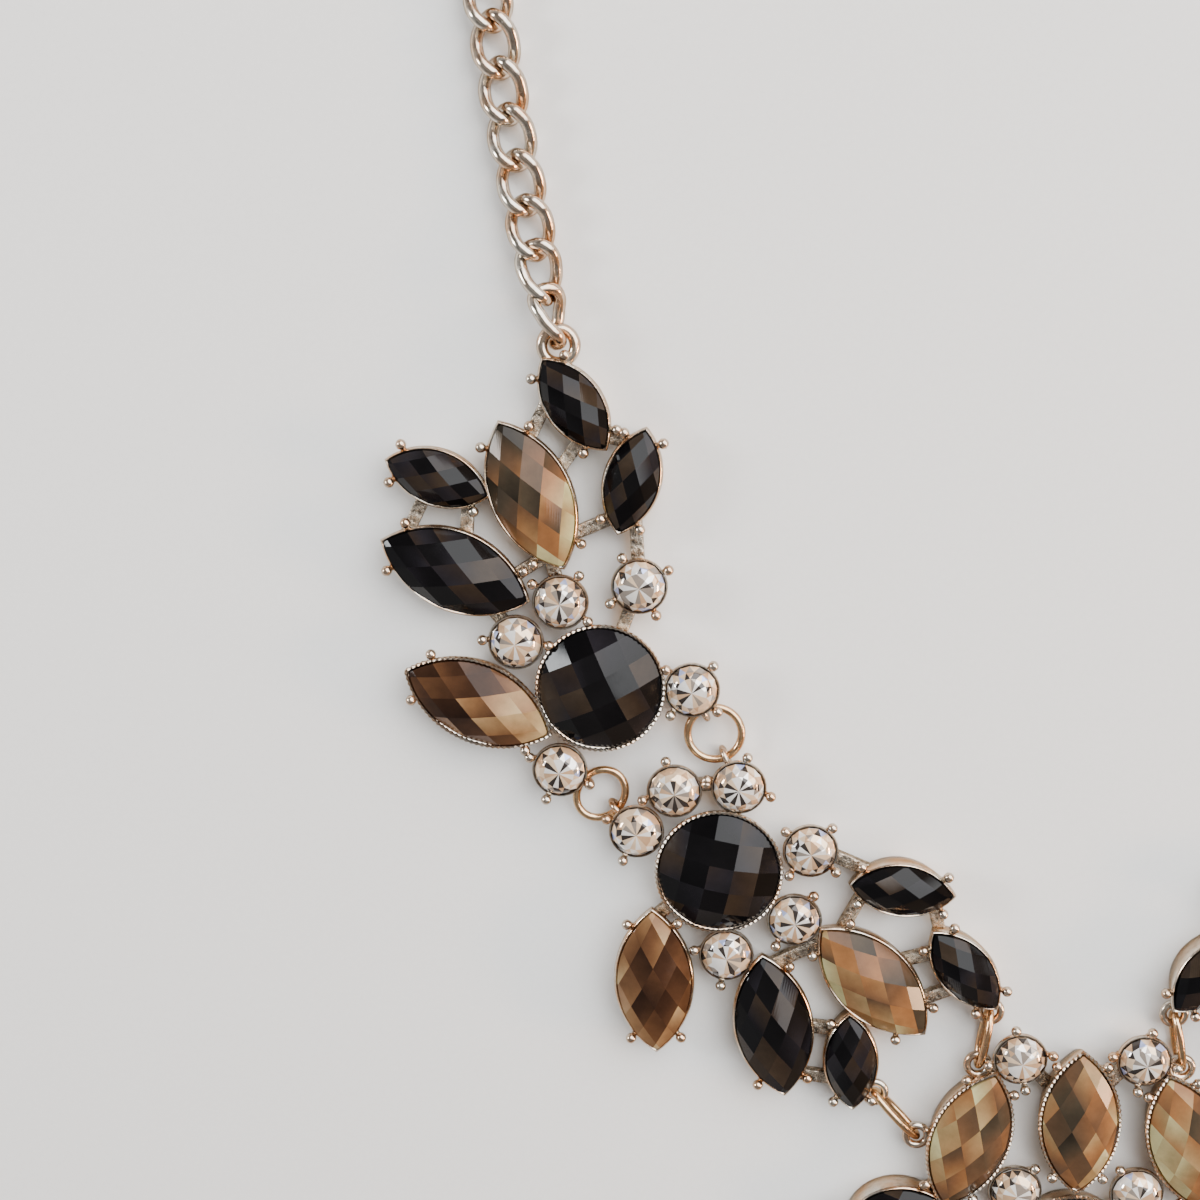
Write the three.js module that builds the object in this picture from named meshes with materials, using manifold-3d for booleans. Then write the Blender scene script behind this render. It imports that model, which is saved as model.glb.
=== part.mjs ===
// A bib necklace lying flat: five clusters of set stones, joined by jump rings, on a curb chain.
// Millimetres, +Z up. The back of every cluster is on z = 0, the middle of the front is at x = 0,
// and the origin is under the round stone of the centre cluster.

import * as THREE from "three";
import { mergeVertices } from "three/addons/utils/BufferGeometryUtils.js";
import Module from "manifold-3d";

const solids = await Module();
solids.setup();

// Stones
const roundDiameter = 12;
const largeLength = 15;
const largeWidth = 7.5;
const smallLength = 10;
const smallWidth = 5;
const chatonDiameter = 5.1;
const roundCrown = 2.5;
const largeCrown = 2.2;
const smallCrown = 1.9;
const chatonCrown = 1.1;
const tableShare = 0.45;
const breakShare = 0.8;
const breakHeightShare = 0.62;

// Cups that hold the stones
const rimHeight = 3.2;
const cupWall = 0.5;
const cupTaper = 0.82;
const pitFloor = 0.7;
const stoneGap = 0.2;
const prongLength = 0.5;
const prongRise = 0.8;
const prongPlace = 0.6;
const chatonFootShare = 0.45;

// Flat bars that join the cups
const barWidth = 1.4;
const barTop = 1.6;
const barFoot = 0.4;
const barRoot = 0.9;
const chatonBarRoot = 1.7;
const rootStep = 0.05;
const rimOverlap = 0.2;

// Curb chain
const linkLength = 6.6;
const linkWidth = 4.7;
const linkWire = 1.2;
const linkTwist = 55;
const linkBite = 0.1;
const linkSteps = 8;
const linkSquareness = 0.8;
const chainHeading = 104;
const sideRun = 34;
const sideBend = 290;

// Eyes, loops, jump rings and clasp
const chainEyeWire = 1.1;
const chainEyeHole = 2.1;
const smallEyeWire = 0.8;
const smallEyeHole = 1.4;
const loopWire = 0.6;
const loopHole = 1.4;
const jumpWire = 0.8;
const roundRingDiameter = 6.2;
const roundRingHeading = 115;
const ovalRingLength = 6.8;
const ovalRingHeight = 3.5;
const ovalRingHeading = 80;
const eyeSlack = 0.15;
const claspLength = 12;
const claspWidth = 4.8;
const claspThickness = 1;
const wireSides = 5;
const eyeSteps = 8;
const loopSteps = 6;
const ringSteps = 8;

const degree = Math.PI / 180;

// The corners of one side of a stone's outline, from 1 at its tip over 0 at the middle of the side
const evenCorners = (count) => Array.from({ length: count }, (_, step) => 1 - (2 * step) / count);
const pointedCorners = [1, prongPlace, 0, -prongPlace];
const prongs = [1, 3, 5, 7];

const kinds = {
  round: {
    length: roundDiameter,
    width: roundDiameter,
    crown: roundCrown,
    corners: evenCorners(6),
    prongs: [],
  },
  large: { length: largeLength, width: largeWidth, crown: largeCrown, corners: pointedCorners, prongs },
  small: { length: smallLength, width: smallWidth, crown: smallCrown, corners: pointedCorners, prongs },
  chaton: {
    length: chatonDiameter,
    width: chatonDiameter,
    crown: chatonCrown,
    corners: evenCorners(4),
    prongs,
  },
};

// Each stone lies beside one that stands earlier in its table: the bearing from that one in
// degrees, the gap between their edges on the line of centres, and the lean of its long axis.
const shoulderStones = [
  { name: "round", kind: "round", lean: 0 },
  { name: "chaton_1", kind: "chaton", beside: "round", bearing: 114, gap: 0.9, lean: 10 },
  { name: "chaton_2", kind: "chaton", beside: "round", bearing: 151, gap: 0.95, lean: 40 },
  { name: "chaton_3", kind: "chaton", beside: "round", bearing: 69, gap: 2.4, lean: 75 },
  { name: "chaton_4", kind: "chaton", beside: "round", bearing: -1.5, gap: 0.5, lean: 5 },
  { name: "chaton_5", kind: "chaton", beside: "round", bearing: -116, gap: 0.95, lean: 20 },
  { name: "large_1", kind: "large", beside: "chaton_1", bearing: 104, gap: 1.7, lean: -67 },
  { name: "large_2", kind: "large", beside: "chaton_2", bearing: 129, gap: 1.4, lean: -23 },
  { name: "large_3", kind: "large", beside: "round", bearing: -173, gap: 1.15, lean: -24.5 },
  { name: "small_1", kind: "small", beside: "large_2", bearing: 99, gap: 2.5, lean: -19.5 },
  { name: "small_2", kind: "small", beside: "large_1", bearing: 64, gap: 2.7, lean: -55.5 },
  { name: "small_3", kind: "small", beside: "chaton_3", bearing: 93.5, gap: 3.9, lean: 74.5 },
];
const sideStones = [
  { name: "round", kind: "round", lean: 0 },
  { name: "chaton_1", kind: "chaton", beside: "round", bearing: 118, gap: 0.95, lean: 60 },
  { name: "chaton_2", kind: "chaton", beside: "round", bearing: 77.5, gap: 0.5, lean: 30 },
  { name: "chaton_3", kind: "chaton", beside: "round", bearing: 153.5, gap: 0.7, lean: 20 },
  { name: "chaton_4", kind: "chaton", beside: "round", bearing: 13.5, gap: 0.9, lean: 5 },
  { name: "chaton_5", kind: "chaton", beside: "round", bearing: -34, gap: 0.7, lean: 10 },
  { name: "chaton_6", kind: "chaton", beside: "round", bearing: -85, gap: 0.5, lean: 35 },
  { name: "large_1", kind: "large", beside: "round", bearing: -119, gap: 2.4, lean: -88.5 },
  { name: "large_2", kind: "large", beside: "chaton_6", bearing: -57.5, gap: 0.9, lean: -81 },
  { name: "large_3", kind: "large", beside: "chaton_5", bearing: -39, gap: 0.95, lean: -46.5 },
  { name: "small_1", kind: "small", beside: "large_2", bearing: -26, gap: 2, lean: -87.5 },
  { name: "small_2", kind: "small", beside: "chaton_4", bearing: -23.5, gap: 3.5, lean: -6.5 },
  { name: "small_3", kind: "small", beside: "large_3", bearing: 8, gap: 2.4, lean: -51 },
];
// The centre cluster lists its axis and its left half; rows that say pair are mirrored.
const centreStones = [
  { name: "round", kind: "round", lean: 0 },
  { name: "large_top", kind: "large", beside: "round", bearing: 90, gap: 1.15, lean: 90 },
  { name: "large_low", kind: "large", beside: "round", bearing: -90, gap: 1.15, lean: 90 },
  { name: "chaton_1", kind: "chaton", beside: "round", bearing: 133, gap: 0.6, lean: 10, pair: true },
  { name: "chaton_2", kind: "chaton", beside: "round", bearing: 172, gap: 0.7, lean: 40, pair: true },
  { name: "chaton_3", kind: "chaton", beside: "round", bearing: -125, gap: 0.7, lean: 15, pair: true },
  { name: "chaton_4", kind: "chaton", beside: "large_top", bearing: 132.5, gap: 2.1, lean: 55, pair: true },
  { name: "large_1", kind: "large", beside: "chaton_1", bearing: 130, gap: 0.95, lean: 72, pair: true },
  { name: "large_2", kind: "large", beside: "round", bearing: -157, gap: 1.1, lean: 20, pair: true },
  { name: "large_3", kind: "large", beside: "chaton_3", bearing: -120, gap: 0.9, lean: 57, pair: true },
  { name: "small_1", kind: "small", beside: "chaton_2", bearing: 165, gap: 4.5, lean: 20, pair: true },
];

// Bars run between points on the stones' long axes, given as shares of the half length.
// A stone that no bar here joins to the one it lies beside gets a bar between their centres,
// unless their cups touch.
const shoulderBars = [
  { from: "large_1", at: -0.46, to: "small_2", end: -0.58 },
  { from: "large_1", at: 0.12, to: "small_2", end: 0.52 },
  { from: "large_2", at: -0.8, to: "small_1", end: -0.1 },
  { from: "large_2", at: 0.1, to: "small_1", end: 0.6 },
  { from: "small_3", at: -0.7, to: "large_1", end: 0.7 },
  { from: "small_2", at: 0.75, to: "small_3", end: 0.7 },
  { from: "large_2", at: 0.6, to: "large_1", end: 0.8 },
];
const sideBars = [
  { from: "large_1", at: -0.8, to: "round", end: 0 },
  { from: "large_2", at: -0.75, to: "large_3", end: -0.75 },
  { from: "large_2", at: 0.05, to: "small_1", end: -0.5 },
  { from: "large_2", at: 0.8, to: "small_1", end: 0.6 },
  { from: "small_2", at: -0.6, to: "large_3", end: -0.7 },
  { from: "large_3", at: -0.1, to: "small_3", end: -0.4 },
  { from: "large_3", at: 0.65, to: "small_3", end: 0.45 },
  { from: "small_2", at: 0.6, to: "small_3", end: -0.7 },
  { from: "chaton_1", at: 0, to: "chaton_2", end: 0 },
];
const centreBars = [
  { from: "small_1", at: 0.8, to: "large_1", end: -0.8 },
  { from: "large_2", at: -0.4, to: "large_3", end: -0.5 },
  { from: "large_3", at: 0.2, to: "large_low", end: 0.1 },
];

// Eyes lie flat and loops stand up; each sits on the edge of a stone's cup, at a bearing.
const chainEye = { on: "small_2", bearing: 105 };
const shoulderLoops = [
  { name: "upper", on: "chaton_4", bearing: -65, out: 0.15 },
  { name: "lower", on: "chaton_5", bearing: -33, out: 0.15 },
];
const sideLoops = [
  { name: "upper", on: "chaton_2", bearing: 115, out: 0.4 },
  { name: "lower", on: "chaton_3", bearing: 135, out: 0.15 },
];
const sideEyes = [
  { name: "upper", on: "small_3", bearing: -60 },
  { name: "lower", on: "small_1", bearing: -57 },
];
const centreEyes = [
  { name: "upper", on: "large_1", bearing: 84 },
  { name: "lower", on: "large_1", bearing: 184 },
];

function finish(color, metalness, roughness) {
  return new THREE.MeshStandardMaterial({ color, metalness, roughness, flatShading: true });
}

const metal = finish(0xb9a893, 1, 0.22);
const ringMetal = finish(0xc79a6b, 1, 0.2);
const jet = finish(0x0b0a0b, 0, 0.08);
const smoke = finish(0xb08a5c, 0, 0.08);
const brown = finish(0x7a4a2b, 0, 0.08);

// Stones that aren't black, by cluster and name
const stoneColours = {
  shoulder: { large_1: smoke, large_3: brown },
  side: { large_1: brown, large_3: smoke },
  centre: { large_top: smoke, large_1: smoke, large_2: brown, large_3: brown },
};

// Helpers on vectors and outlines

function heading(angle, length = 1) {
  return new THREE.Vector2(Math.cos(angle * degree) * length, Math.sin(angle * degree) * length);
}

// A marquise is two arcs that meet at its tips. A round stone is the case where both arcs are half turns.
function arcOf(kind, offset) {
  const half = kind.length / 2;
  const side = kind.width / 2;
  const radius = (half * half + side * side) / (2 * side);
  const centre = radius - side;
  const tip = Math.sqrt((radius + offset) ** 2 - centre ** 2);
  return { radius: radius + offset, centre, sweep: Math.asin(Math.min(1, tip / (radius + offset))) };
}

function outline(kind, offset, pushes = {}) {
  const { radius, centre, sweep } = arcOf(kind, offset);
  return [1, -1].flatMap((sign, side) =>
    kind.corners.map((corner, step) => {
      const reach = radius + (pushes[side * kind.corners.length + step] ?? 0);
      const [x, y] = [reach * Math.sin(sweep * corner), reach * Math.cos(sweep * corner) - centre];
      return new THREE.Vector2(sign * x, sign * y);
    }),
  );
}

function edgeReach(stone, bearing) {
  const { radius, centre } = arcOf(kinds[stone.kind], 0);
  const across = Math.abs(Math.sin((bearing - stone.lean) * degree));
  return Math.sqrt(radius ** 2 - centre ** 2 * (1 - across ** 2)) - centre * across;
}

function besidePoint(stone, bearing, distance) {
  return stone.place.clone().add(heading(bearing, edgeReach(stone, bearing) + distance));
}

function axisPoint(stone, share) {
  return stone.place.clone().add(heading(stone.lean, (share * kinds[stone.kind].length) / 2));
}

// Closed bodies

function closedBody(vertices, faces) {
  let volume = 0;
  for (const [a, b, c] of faces) {
    volume += vertices[a].dot(new THREE.Vector3().crossVectors(vertices[b], vertices[c]));
  }
  const index = faces.flatMap(([a, b, c]) => (volume > 0 ? [a, b, c] : [a, c, b]));
  const geometry = new THREE.BufferGeometry().setFromPoints(vertices);
  geometry.setIndex(index);
  return geometry;
}

// Rings of one size are joined in order; a ring of one point is an apex, and open ends get a cap.
function loft(rings) {
  const faces = [];
  let start = 0;
  rings.forEach((ring, number) => {
    const size = ring.length;
    const next = rings[number + 1];
    if (size > 1 && (number === 0 || !next)) {
      for (let i = 1; i < size - 1; i += 1) {
        faces.push(number === 0 ? [start, start + i + 1, start + i] : [start, start + i, start + i + 1]);
      }
    }
    if (next) {
      const above = start + size;
      for (let i = 0; i < Math.max(size, next.length); i += 1) {
        const j = (i + 1) % Math.max(size, next.length);
        if (size > 1) {
          faces.push([start + i, start + j, above + (next.length > 1 ? j : 0)]);
        }
        if (next.length > 1) {
          faces.push([start + (size > 1 ? i : 0), above + j, above + i]);
        }
      }
    }
    start += size;
  });
  return closedBody(rings.flat(), faces);
}

function level(points, height, rises = {}) {
  return points.map((point, index) => new THREE.Vector3(point.x, point.y, height + (rises[index] ?? 0)));
}

function scaled(points, share) {
  return points.map((point) => point.clone().multiplyScalar(share));
}

// A round wire bent to a closed line of points, one corner of its section facing the middle of the loop
function wireLoop(points, wire, sides) {
  const middle = new THREE.Vector3();
  points.forEach((point) => middle.addScaledVector(point, 1 / points.length));
  const vertices = [];
  const faces = [];
  points.forEach((point, i) => {
    const after = points[(i + 1) % points.length];
    const before = points[(i + points.length - 1) % points.length];
    const along = after.clone().sub(before).normalize();
    const inward = middle.clone().sub(point);
    inward.addScaledVector(along, -inward.dot(along)).normalize();
    const across = new THREE.Vector3().crossVectors(along, inward);
    for (let k = 0; k < sides; k += 1) {
      const turn = (2 * Math.PI * k) / sides;
      const vertex = point.clone().addScaledVector(inward, (Math.cos(turn) * wire) / 2);
      vertices.push(vertex.addScaledVector(across, (Math.sin(turn) * wire) / 2));
      const a = i * sides + k;
      const b = i * sides + ((k + 1) % sides);
      const c = ((i + 1) % points.length) * sides + ((k + 1) % sides);
      const d = ((i + 1) % points.length) * sides + k;
      faces.push([a, b, c], [a, c, d]);
    }
  });
  return closedBody(vertices, faces);
}

function toSolid(geometry) {
  const bare = geometry.clone();
  bare.deleteAttribute("normal");
  bare.deleteAttribute("uv");
  const merged = mergeVertices(bare);
  const vertProperties = new Float32Array(merged.attributes.position.array);
  const triVerts = new Uint32Array(merged.index.array);
  return new solids.Manifold(new solids.Mesh({ numProp: 3, vertProperties, triVerts }));
}

function joined(geometries) {
  return geometries.map(toSolid).reduce((whole, piece) => whole.add(piece));
}

function toGeometry(solid) {
  const mesh = solid.getMesh();
  const geometry = new THREE.BufferGeometry();
  geometry.setAttribute("position", new THREE.BufferAttribute(new Float32Array(mesh.vertProperties), 3));
  geometry.setIndex(new THREE.BufferAttribute(new Uint32Array(mesh.triVerts), 1));
  return geometry;
}

function mirrored(geometry) {
  const copy = geometry.clone().scale(-1, 1, 1);
  const index = copy.index.array;
  for (let i = 0; i < index.length; i += 3) {
    [index[i + 1], index[i + 2]] = [index[i + 2], index[i + 1]];
  }
  return copy;
}

// Stones and their cups, each about its own middle

function stoneBody(kind) {
  const seat = pitFloor + 2 * stoneGap;
  const girdle = outline(kind, 0);
  const top = rimHeight + kind.crown;
  const rings = [[new THREE.Vector3(0, 0, seat)], level(girdle, rimHeight)];
  if (kind === kinds.round) {
    rings.push(level(scaled(girdle, breakShare), rimHeight + kind.crown * breakHeightShare));
  }
  rings.push(level(scaled(girdle, tableShare), top));
  return loft(rings);
}

function prongMap(kind, value) {
  return Object.fromEntries(kind.prongs.map((index) => [index, value]));
}

function cupBody(kind) {
  const rim = outline(kind, stoneGap + cupWall, prongMap(kind, prongLength));
  const foot = scaled(outline(kind, stoneGap + cupWall), cupTaper);
  return loft([
    level(foot, 0),
    level(rim, rimHeight, prongMap(kind, prongRise)),
    level(outline(kind, stoneGap), rimHeight),
    [new THREE.Vector3(0, 0, pitFloor)],
  ]);
}

function chatonBody() {
  const kind = kinds.chaton;
  const rim = outline(kind, cupWall, prongMap(kind, prongLength));
  return loft([
    level(scaled(outline(kind, 0), chatonFootShare), 0),
    level(rim, rimHeight, prongMap(kind, prongRise)),
    level(outline(kind, 0), rimHeight),
    level(scaled(outline(kind, 0), tableShare), rimHeight + kind.crown),
  ]);
}

// The room of a stone, which no neighbour's metal may enter
function clearRoom(kind) {
  const wall = outline(kind, stoneGap / 2);
  const top = rimHeight + 2 * kind.crown;
  return loft([[new THREE.Vector3(0, 0, pitFloor + stoneGap)], level(wall, rimHeight), level(wall, top)]);
}

// A cluster's stones with their places, worked out from the table

function layOut(rows) {
  const stones = {};
  const add = (row, name, beside, bearing, lean) => {
    const place = new THREE.Vector2();
    const stone = { name, kind: row.kind, lean, place };
    if (beside) {
      const reach = edgeReach(stones[beside], bearing) + row.gap + edgeReach(stone, bearing + 180);
      place.copy(stones[beside].place).add(heading(bearing, reach));
      stone.beside = beside;
      stone.gap = row.gap;
    }
    stones[name] = stone;
  };
  for (const row of rows) {
    if (!row.pair) {
      add(row, row.name, row.beside, row.bearing, row.lean);
      continue;
    }
    for (const [side, flip] of [["left", false], ["right", true]]) {
      const beside = stones[row.beside] ? row.beside : `${side}_${row.beside}`;
      const bearing = flip ? 180 - row.bearing : row.bearing;
      add(row, `${side}_${row.name}`, beside, bearing, flip ? 180 - row.lean : row.lean);
    }
  }
  return stones;
}

function pairedBars(rows, stones) {
  return ["left", "right"].flatMap((side) =>
    rows.map((row) => {
      const named = (name) => (stones[name] ? name : `${side}_${name}`);
      return { ...row, from: named(row.from), to: named(row.to) };
    }),
  );
}

// A bar is flat on top and has a keel below.
function barBody(from, to) {
  const line = to.clone().sub(from).normalize();
  const across = new THREE.Vector2(-line.y, line.x).multiplyScalar(barWidth / 2);
  const section = (end) => [
    new THREE.Vector3(end.x + across.x, end.y + across.y, barTop),
    new THREE.Vector3(end.x - across.x, end.y - across.y, barTop),
    new THREE.Vector3(end.x, end.y, barFoot),
  ];
  return loft([section(from), section(to)]);
}

// Where a bar is rooted: inside the wall of a cup
function rootPoint(stone, point, towards) {
  const kind = kinds[stone.kind];
  const { radius, centre } = arcOf(kind, stone.kind === "chaton" ? -chatonBarRoot : -barRoot);
  const line = towards.clone().sub(point).normalize();
  const root = point.clone();
  const inside = (spot) => {
    const local = spot.clone().sub(stone.place).rotateAround(new THREE.Vector2(), -stone.lean * degree);
    return Math.hypot(local.x, Math.abs(local.y) + centre) < radius;
  };
  while (inside(root)) {
    root.addScaledVector(line, rootStep);
  }
  return root;
}

function clusterBars(stones, rows) {
  const isJoined = (a, b) => {
    return rows.some(({ from, to }) => (from === a && to === b) || (from === b && to === a));
  };
  const wallOf = (stone) => (stone.kind === "chaton" ? cupWall : cupWall + stoneGap);
  const touches = (stone) => stone.gap < wallOf(stone) + wallOf(stones[stone.beside]) - rimOverlap;
  const soldered = Object.values(stones)
    .filter((stone) => stone.beside && !touches(stone) && !isJoined(stone.name, stone.beside))
    .map((stone) => ({ from: stone.name, at: 0, to: stone.beside, end: 0 }));
  return [...rows, ...soldered].map((row) => {
    const [first, second] = [stones[row.from], stones[row.to]];
    const [start, stop] = [axisPoint(first, row.at), axisPoint(second, row.end)];
    return barBody(rootPoint(first, start, stop), rootPoint(second, stop, start));
  });
}

function frameSolid(stones, bars, fittings) {
  const placed = (stone, body) => {
    return body.rotateZ(stone.lean * degree).translate(stone.place.x, stone.place.y, 0);
  };
  const all = Object.values(stones);
  const cups = all.map((stone) => {
    return placed(stone, stone.kind === "chaton" ? chatonBody() : cupBody(kinds[stone.kind]));
  });
  const rooms = all
    .filter((stone) => stone.kind !== "chaton")
    .map((stone) => placed(stone, clearRoom(kinds[stone.kind])));
  return joined([...cups, ...bars, ...fittings]).subtract(joined(rooms));
}

// Eyes, loops and jump rings

const standingHeight = ovalRingHeight / 2;
const flatRingHeight = loopWire + loopHole / 2;

function flatEye(centre, height, wire, hole, steps) {
  const eye = new THREE.TorusGeometry((hole + wire) / 2, wire / 2, wireSides, steps);
  return eye.translate(centre.x, centre.y, height);
}

function standingLoop(centre, bearing) {
  const loop = new THREE.TorusGeometry((loopHole + loopWire) / 2, loopWire / 2, wireSides, loopSteps);
  loop.rotateX(Math.PI / 2).rotateZ(bearing * degree);
  return loop.translate(centre.x, centre.y, flatRingHeight);
}

function loopPoint(stones, row) {
  return besidePoint(stones[row.on], row.bearing, row.out);
}

function eyePoint(stones, row, wire, hole) {
  return besidePoint(stones[row.on], row.bearing, cupWall / 2 + (wire + hole) / 2);
}

// A jump ring is an oval of wire whose ends pass through the two points it joins.
function jumpRing(first, second, halfWidth, height, standing) {
  const middle = first.clone().add(second).multiplyScalar(0.5);
  const along = second.clone().sub(first);
  const halfLength = along.length() / 2;
  along.normalize();
  const across = new THREE.Vector2(-along.y, along.x);
  const points = [];
  for (let i = 0; i < ringSteps; i += 1) {
    const turn = (2 * Math.PI * i) / ringSteps;
    const spot = middle.clone().addScaledVector(along, halfLength * Math.cos(turn));
    const side = halfWidth * Math.sin(turn);
    if (!standing) {
      spot.addScaledVector(across, side);
    }
    points.push(new THREE.Vector3(spot.x, spot.y, height + (standing ? side : 0)));
  }
  return wireLoop(points, jumpWire, wireSides);
}

// Chain

// The middle line of a twisted link along X: a rounded oval, turned one way at one end
// and the other way at the other end, then rolled as a whole about the chain.
function linkLine(halfLength, roll) {
  const points = [];
  for (let i = 0; i < linkSteps; i += 1) {
    const turn = (2 * Math.PI * i) / linkSteps;
    const rounded = (value) => Math.sign(value) * Math.abs(value) ** linkSquareness;
    const side = ((linkWidth - linkWire) / 2) * rounded(Math.sin(turn));
    const twist = (roll - linkTwist * Math.cos(turn)) * degree;
    const x = halfLength * rounded(Math.cos(turn));
    points.push(new THREE.Vector3(x, side * Math.cos(twist), side * Math.sin(twist)));
  }
  return points;
}

function lyingHeight(line) {
  return linkWire / 2 - Math.min(...line.map((point) => point.z));
}

// The route leaves the eye at its heading, bends a little, then turns on one arc to the clasp.
function chainRoute(start, claspEnd) {
  const firstTurn = sideRun / sideBend / degree;
  const sideMiddle = start.clone().add(heading(chainHeading - 90, sideBend));
  const corner = sideMiddle.clone().add(heading(chainHeading - firstTurn + 90, sideBend));
  const cornerHeading = chainHeading - firstTurn;
  const bend = (claspEnd - corner.x) / Math.sin(cornerHeading * degree);
  const bendMiddle = corner.clone().add(heading(cornerHeading - 90, bend));
  const length = sideRun + bend * cornerHeading * degree;
  const at = (distance) => {
    if (distance < sideRun) {
      const angle = chainHeading - distance / sideBend / degree;
      return { place: sideMiddle.clone().add(heading(angle + 90, sideBend)), angle };
    }
    const angle = cornerHeading - (distance - sideRun) / bend / degree;
    return { place: bendMiddle.clone().add(heading(angle + 90, bend)), angle };
  };
  return { length, at };
}

// The end link is rolled until its outer end stands upright in the eye that it passes through,
// and the next links by these shares of its roll.
const rollShares = [1, 0.45, 0.12];
const endRolls = rollShares.map((share) => (90 - linkTwist) * share);

function chainLinks(start, claspEnd) {
  const route = chainRoute(start, claspEnd);
  const nominalPitch = linkLength - 2 * linkWire + linkBite;
  const endReach = linkWire - linkBite;
  const count = Math.round((route.length - endReach) / nominalPitch);
  const pitch = (route.length - endReach) / count;
  const halfLength = (pitch + linkWire - linkBite) / 2;
  const links = [];
  for (let i = 0; i < count; i += 1) {
    const fromEnd = Math.min(i, count - 1 - i);
    const side = i < count / 2 ? 1 : -1;
    const line = linkLine(halfLength, side * (endRolls[fromEnd] ?? 0));
    const { place, angle } = route.at(halfLength + i * pitch);
    const link = wireLoop(line, linkWire, wireSides);
    links.push(link.rotateZ(angle * degree).translate(place.x, place.y, lyingHeight(line)));
  }
  return links;
}

const chainEyeHeight = lyingHeight(linkLine((linkLength - linkWire) / 2, endRolls[0]));

function claspBody() {
  const outlineShape = new THREE.Shape();
  const end = (claspLength - claspWidth) / 2;
  outlineShape.absarc(end, 0, claspWidth / 2, -Math.PI / 2, Math.PI / 2, false);
  outlineShape.absarc(-end, 0, claspWidth / 2, Math.PI / 2, (3 * Math.PI) / 2, false);
  for (const sign of [-1, 1]) {
    const hole = new THREE.Path();
    hole.absarc(sign * end, 0, chainEyeHole / 2, 0, 2 * Math.PI, true);
    outlineShape.holes.push(hole);
  }
  const settings = { depth: claspThickness, bevelEnabled: false, curveSegments: 4 };
  return new THREE.ExtrudeGeometry(outlineShape, settings);
}

// The whole necklace

const necklace = new THREE.Group();

function addMesh(group, name, geometry, material) {
  const mesh = new THREE.Mesh(geometry, material);
  mesh.name = name;
  group.add(mesh);
  return mesh;
}

function addCluster(name, family, stones, frame, place, flip) {
  const group = new THREE.Group();
  group.position.set(place.x, place.y, 0);
  necklace.add(group);
  addMesh(group, `${name}_frame`, frame, metal);
  for (const stone of Object.values(stones)) {
    if (stone.kind !== "chaton") {
      const colour = stoneColours[family][stone.name.replace(/^(left|right)_/, "")] ?? jet;
      const mesh = addMesh(group, `${name}_${stone.name}`, stoneBody(kinds[stone.kind]), colour);
      mesh.position.set(flip * stone.place.x, stone.place.y, 0);
      mesh.rotation.z = flip * stone.lean * degree;
    }
  }
}

const centre = layOut(centreStones);
const side = layOut(sideStones);
const shoulder = layOut(shoulderStones);

const sideEyePoints = sideEyes.map((row) => eyePoint(side, row, smallEyeWire, smallEyeHole));
const centreEyePoints = centreEyes.map((row) => {
  return eyePoint(centre, { ...row, on: `left_${row.on}` }, smallEyeWire, smallEyeHole);
});
const sideLoopPoints = sideLoops.map((row) => loopPoint(side, row));
const shoulderLoopPoints = shoulderLoops.map((row) => loopPoint(shoulder, row));

// The side cluster hangs on the centre one by the upper oval ring, and the shoulder on the side by the
// upper round ring. The lower ring of each pair is as long as its two ends are apart.
const sidePlace = centreEyePoints[0].clone();
sidePlace.add(heading(ovalRingHeading, ovalRingLength - jumpWire)).sub(sideEyePoints[0]);
const shoulderPlace = sidePlace.clone().add(sideLoopPoints[0]);
shoulderPlace.add(heading(roundRingHeading, roundRingDiameter - jumpWire)).sub(shoulderLoopPoints[0]);

const chainEyeCentre = eyePoint(shoulder, chainEye, chainEyeWire, chainEyeHole);

function onSide(geometry, flip) {
  return flip > 0 ? geometry : mirrored(geometry);
}

const shoulderFrame = toGeometry(
  frameSolid(shoulder, clusterBars(shoulder, shoulderBars), [
    flatEye(chainEyeCentre, chainEyeHeight, chainEyeWire, chainEyeHole, eyeSteps),
    ...shoulderLoops.map((row, i) => standingLoop(shoulderLoopPoints[i], row.bearing)),
  ]),
);
const sideFrame = toGeometry(
  frameSolid(side, clusterBars(side, sideBars), [
    ...sideEyePoints.map((point) => flatEye(point, standingHeight, smallEyeWire, smallEyeHole, loopSteps)),
    ...sideLoops.map((row, i) => standingLoop(sideLoopPoints[i], row.bearing)),
  ]),
);
const centreFrame = toGeometry(
  frameSolid(centre, clusterBars(centre, pairedBars(centreBars, centre)), [
    ...centreEyePoints.flatMap((point) => {
      const opposite = new THREE.Vector2(-point.x, point.y);
      return [point, opposite].map((spot) => {
        return flatEye(spot, standingHeight, smallEyeWire, smallEyeHole, loopSteps);
      });
    }),
  ]),
);

const ringBodies = {
  upper_round_ring: jumpRing(
    sidePlace.clone().add(sideLoopPoints[0]),
    shoulderPlace.clone().add(shoulderLoopPoints[0]),
    (roundRingDiameter - jumpWire) / 2,
    flatRingHeight,
    false,
  ),
  lower_round_ring: jumpRing(
    sidePlace.clone().add(sideLoopPoints[1]),
    shoulderPlace.clone().add(shoulderLoopPoints[1]),
    (roundRingDiameter - jumpWire) / 2,
    flatRingHeight,
    false,
  ),
  upper_oval_ring: jumpRing(
    centreEyePoints[0],
    sidePlace.clone().add(sideEyePoints[0]),
    (ovalRingHeight - jumpWire) / 2,
    standingHeight,
    true,
  ),
  lower_oval_ring: jumpRing(
    centreEyePoints[1],
    sidePlace.clone().add(sideEyePoints[1]),
    (ovalRingHeight - jumpWire) / 2,
    standingHeight,
    true,
  ),
};

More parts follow.
